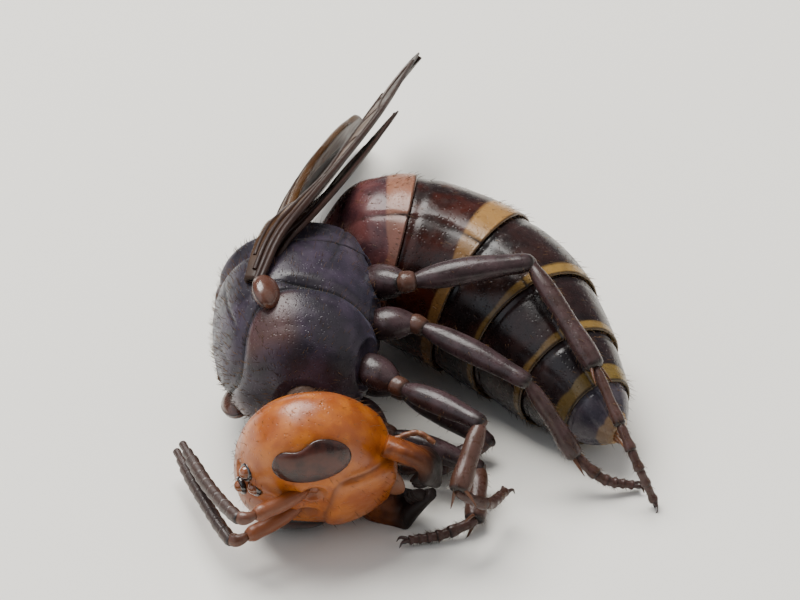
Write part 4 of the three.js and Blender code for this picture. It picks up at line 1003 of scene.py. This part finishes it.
leg_finish = Finish("leg_shell", Specular_IOR_Level=0.28, Coat_Weight=0.12, Coat_Roughness=0.18)
leg_tone = leg_finish.tones(0.0009, (0.013, 0.009, 0.012), (0.040, 0.024, 0.029), high=0.68)
leg_tone = leg_finish.over(leg_tone, warm=(0.11, 0.042, 0.018), joint=(0.010, 0.006, 0.005))
leg_finish.wear(leg_tone, leg_finish.rough(0.0003, 0.24, 0.42),
                leg_finish.pits(0.00016).ramp(0, 0.35) + leg_finish.noise(0.0001) * 0.2, 0.000012)


def limb(start, end, profile, size, sag=0.0):
    """A hard joint between two places in mm, bowed up by sag and a little flatter than wide."""
    bowed = (start + end) / 2 + (0, 0, sag)
    wide = [(s, r * size) for s, r in profile]
    return tube([start, bowed, end], unit(np.cross(end - start, (0.3, 0.2, 1.0))), wide,
                [(s, r * LIMB_FLATTER) for s, r in wide], LIMB_STEPS, 40)


LIMB_STEPS, LIMB_FLATTER = 44, 0.88
COXA = [(0, 0.85), (0.15, 1.0), (0.55, 1.02), (0.9, 0.66), (1, 0.52)]
RING = [(0, 0.40), (0.2, 0.58), (0.6, 0.62), (0.85, 0.54), (1, 0.40)]
FEMUR = [(0, 0.34), (0.05, 0.46), (0.15, 0.64), (0.42, 0.78), (0.8, 0.60), (0.93, 0.54), (0.98, 0.44),
         (1, 0.30)]
TIBIA = [(0, 0.26), (0.03, 0.36), (0.08, 0.33), (0.16, 0.44), (0.6, 0.54), (0.93, 0.60), (0.98, 0.54),
         (1, 0.40)]
SPIKE = [(0, 0.12), (0.5, 0.08), (1, 0.02)]
CLAW = [(0, 0.13), (0.4, 0.10), (1, 0.02)]
FOOT_THICK, FOOT_STEPS, FOOT_RINGS = 0.345, 300, 30
# A foot's joint flares from its root to its outer end: share of its length, share of its thickness
FLARE = [(0, 0.55), (0.06, 0.68), (0.6, 0.82), (0.9, 1), (0.97, 0.92), (1, 0.6)]
for name, joints in LEGS.items():
    size, shin_warm = KINDS[name.split("_")[0]]
    root = np.array(FLOOR_SET.inverted() @ LIES @ Vector(SOCKETS[name]))
    hip, knee, ankle, bend, toe = (np.array(p) for p in joints)
    thigh_way, shin_way, hip_way = unit(knee - hip), unit(ankle - knee), unit(hip - root)
    share = np.linspace(0, 1, LIMB_STEPS)[:, None]
    pieces = [
        (limb(root, hip + hip_way * 0.05, COXA, size), bell(share - 1, 0.06), 0.1),
        (limb(hip - thigh_way * 0.35, hip + thigh_way * 0.75, RING, size), bell(share - 1, 0.12), 0.5),
        (limb(hip + thigh_way * 0.45, knee + thigh_way * 0.22, FEMUR, size, 0.12), bell(share - 1, 0.05), 0.1),
        (limb(knee - shin_way * 0.30, ankle - shin_way * 0.02, TIBIA, size, 0.08),
         bell(share, 0.05) + bell(share - 1, 0.04), shin_warm),
    ]
    parts = []
    for rings, joint, warm in pieces:
        parts.append(shell(f"leg_{name}", rings, FLOOR_SET, {
            "joint": np.clip(joint, 0, 1), "warm": warm, "hairy": 0.3 + 0.7 * (len(parts) == 3)},
            finish=leg_finish))
    across = unit(np.cross(shin_way, bend - ankle) + (0, 0, 0.01))
    for hand in (1, -1):
        foot_way = unit(unit(bend - ankle) * 0.6 + shin_way * 0.7 + across * hand * 0.55)
        base = ankle - shin_way * 0.22 + across * hand * 0.30
        spur = tube([base, base + foot_way * 0.65, base + foot_way * 1.15 + shin_way * 0.1], across,
                    SPIKE, None, 18, 12)
        parts.append(shell("spur", spur, FLOOR_SET, {"joint": 0.0, "warm": 0.8, "hairy": 0.0},
                           finish=leg_finish))
    join(parts)
    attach(parts[0], "root")
    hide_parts(*(f"leg_{name}_{piece}" for piece in ("coxa", "femur", "tibia")))

    path, ways = stroll([ankle, bend, toe], FOOT_STEPS + 1)
    feet = []
    for number, (first, last) in enumerate(zip(FOOT_JOINTS, FOOT_JOINTS[1:])):
        a, b = int(first * FOOT_STEPS), int(last * FOOT_STEPS)
        piece = [path[a] - ways[a] * 0.10, path[a + (b + 1 - a) // 2], path[b] + ways[b] * 0.02]
        thick = FOOT_THICK * (1 - 0.06 * number)
        rings = tube(piece, (0.1, 0.2, 1), [(s, thick * r) for s, r in FLARE], None, FOOT_RINGS, 26)
        feet.append(shell(f"foot_{name}", rings, FLOOR_SET, {
            "joint": bell(np.linspace(0, 1, FOOT_RINGS)[:, None] - 1, 0.08), "warm": 0.35, "hairy": 0.7},
            finish=leg_finish))
    end, way = path[-4], ways[-1]
    across = unit(np.cross((0.1, 0.2, 1), way))
    up = np.cross(way, across)
    for hand in (1, -1):
        root_at = end + across * hand * 0.10
        claw = tube([root_at, root_at + way * 0.42 + across * hand * 0.18 + up * 0.10,
                     root_at + way * 0.64 + across * hand * 0.28 - up * 0.16], up, CLAW, None, 20, 14)
        feet.append(shell("claw", claw, FLOOR_SET, {"joint": 0.3, "warm": 0.3, "hairy": 0.0},
                          finish=leg_finish))
    pad = tube([end, end + way * 0.3 - up * 0.06, end + way * 0.46 - up * 0.12], across,
               [(0, 0.12), (0.6, 0.17), (1, 0.05)], [(0, 0.08), (0.6, 0.10), (1, 0.03)], 14, 16)
    feet.append(shell("pad", pad, FLOOR_SET, {"joint": 0.9, "warm": 0.0, "hairy": 0.0}, finish=leg_finish))
    join(feet)
    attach(feet[0], "root")
    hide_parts(f"leg_{name}_foot")

# Hair: short stiff bristles, thin on the head, closer on the thorax, mostly near the hind edges of the
# abdomen's rings, and closest on the feet. Each is a fine bent spike rooted in the shell.
hair_finish = Finish("bristle", Roughness=0.55, Specular_IOR_Level=0.2)
hair_finish.wear(hair_finish.tones(0.0008, (0.035, 0.017, 0.008), (0.14, 0.075, 0.030), 2, high=0.65))
# How far a bristle strays from the lie, and how large its patch on the unwrap is for each unit of width
LOOSE, PATCH = 0.28, 0.0009
hair_coat = Growth("hair_coat", Density="Float", Long="Float", Thick="Float", Lean="Float",
                   Lay="Vector", Seed="Int", Material="Material")
seed = hair_coat.given("Seed")
hairy = hair_coat.read("hairy")
roots = hair_coat.node("GeometryNodeDistributePointsOnFaces", {}, {
    "Mesh": hair_coat.given("Geometry"), "Density": hair_coat.given("Density") * hairy,
    "Seed": seed}, "Points")
normal = Wire(hair_coat, roots.socket.node.outputs["Normal"])
loose = hair_coat.node("FunctionNodeRandomValue", {"data_type": "FLOAT_VECTOR"},
                       {"Min": (-LOOSE,) * 3, "Max": (LOOSE,) * 3, "Seed": seed})
lay = hair_coat.scaled(hair_coat.given("Lay"), hair_coat.given("Lean"))
way = hair_coat.added(hair_coat.added(normal, lay), loose)
facing = hair_coat.node("FunctionNodeAlignRotationToVector", {"axis": "Z"}, {"Vector": way})
size = hair_coat.node("FunctionNodeRandomValue", {"data_type": "FLOAT"},
                      {2: 0.55, 3: 1.0, "Seed": seed + 5}, 1)
spike = hair_coat.node("GeometryNodeMeshCone", {"fill_type": "NONE"}, {
    "Vertices": 3, "Side Segments": 3, "Radius Top": 0.12, "Radius Bottom": 1.0, "Depth": 1.0})
spot = hair_coat.node("GeometryNodeInputPosition")
height = hair_coat.part_of(spot, 2)
bent = hair_coat.node("GeometryNodeSetPosition", {}, {
    "Geometry": spike, "Offset": hair_coat.vector(height * height * 4, 0, 0)})
patched = hair_coat.store(bent, "patch", hair_coat.scaled(spot, PATCH), "FLOAT_VECTOR")
long, thick = hair_coat.given("Long") * size, hair_coat.given("Thick")
planted = hair_coat.node("GeometryNodeInstanceOnPoints", {}, {
    "Points": roots, "Instance": patched, "Rotation": facing, "Scale": hair_coat.vector(thick, thick, long)})
real = hair_coat.node("GeometryNodeRealizeInstances", {}, {"Geometry": planted})
corner = hair_coat.added(hair_coat.read("lie", "FLOAT_VECTOR"), hair_coat.read("patch", "FLOAT_VECTOR"))
hair_coat.close(hair_coat.store(real, "OFBake", corner, "FLOAT2", "CORNER"))

HAIR_SEED = 11
SPARE_MARKS = ("lie", "patch", "hairy", "dark", "band", "groove", "warm", "joint")
to_rear = LIES.to_3x3() @ Vector((-1, 0, 0))
# Piece, hairs for each square mm, length and thickness in mm, lean, the way they lie, and the slot
COATS = [("head_capsule", 3.2, 0.42, 0.016, 0.7, HEAD_SET.to_3x3() @ Vector((0.3, 0, -0.9)), "head_shell"),
         ("thorax_box", 9.0, 0.46, 0.016, 0.8, to_rear, "thorax_shell")]
COATS += [(f"belly_ring_{k}", 2.6, 0.50 + 0.08 * (k > 4), 0.016, 1.2,
           belly_line(3.5 * k)[1] @ np.array(LIES.to_3x3()).T, "abdomen_shell") for k in range(1, 7)]
for name, joints in LEGS.items():
    COATS.append((f"leg_{name}", 7.0, 0.36, 0.014, 0.9, Vector(joints[2]) - Vector(joints[1]), "leg"))
    COATS.append((f"foot_{name}", 26.0, 0.26, 0.012, 0.9, Vector(joints[4]) - Vector(joints[2]), "foot"))
for number, (name, density, long, thick, lean, lay, slot) in enumerate(COATS):
    coat = hair_coat.grow(
        f"{name}_hair", bpy.data.objects[name].data, Density=density * 1e6, Long=long * MM,
        Thick=thick * MM, Lean=lean, Lay=Vector(lay).normalized()[:], Seed=HAIR_SEED + number,
        Material=hair_finish.material)
    # Tips that would pass the solids' box are pressed back onto its faces
    ends = np.empty(len(coat.data.vertices) * 3, np.float32)
    coat.data.vertices.foreach_get("co", ends)
    ends = np.clip(ends.reshape(-1, 3), cad_box[0], cad_box[1])
    coat.data.vertices.foreach_set("co", ends.ravel())
    for spare in [a.name for a in coat.data.attributes if a.name in SPARE_MARKS]:
        coat.data.attributes.remove(coat.data.attributes[spare])
    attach(coat, "root")
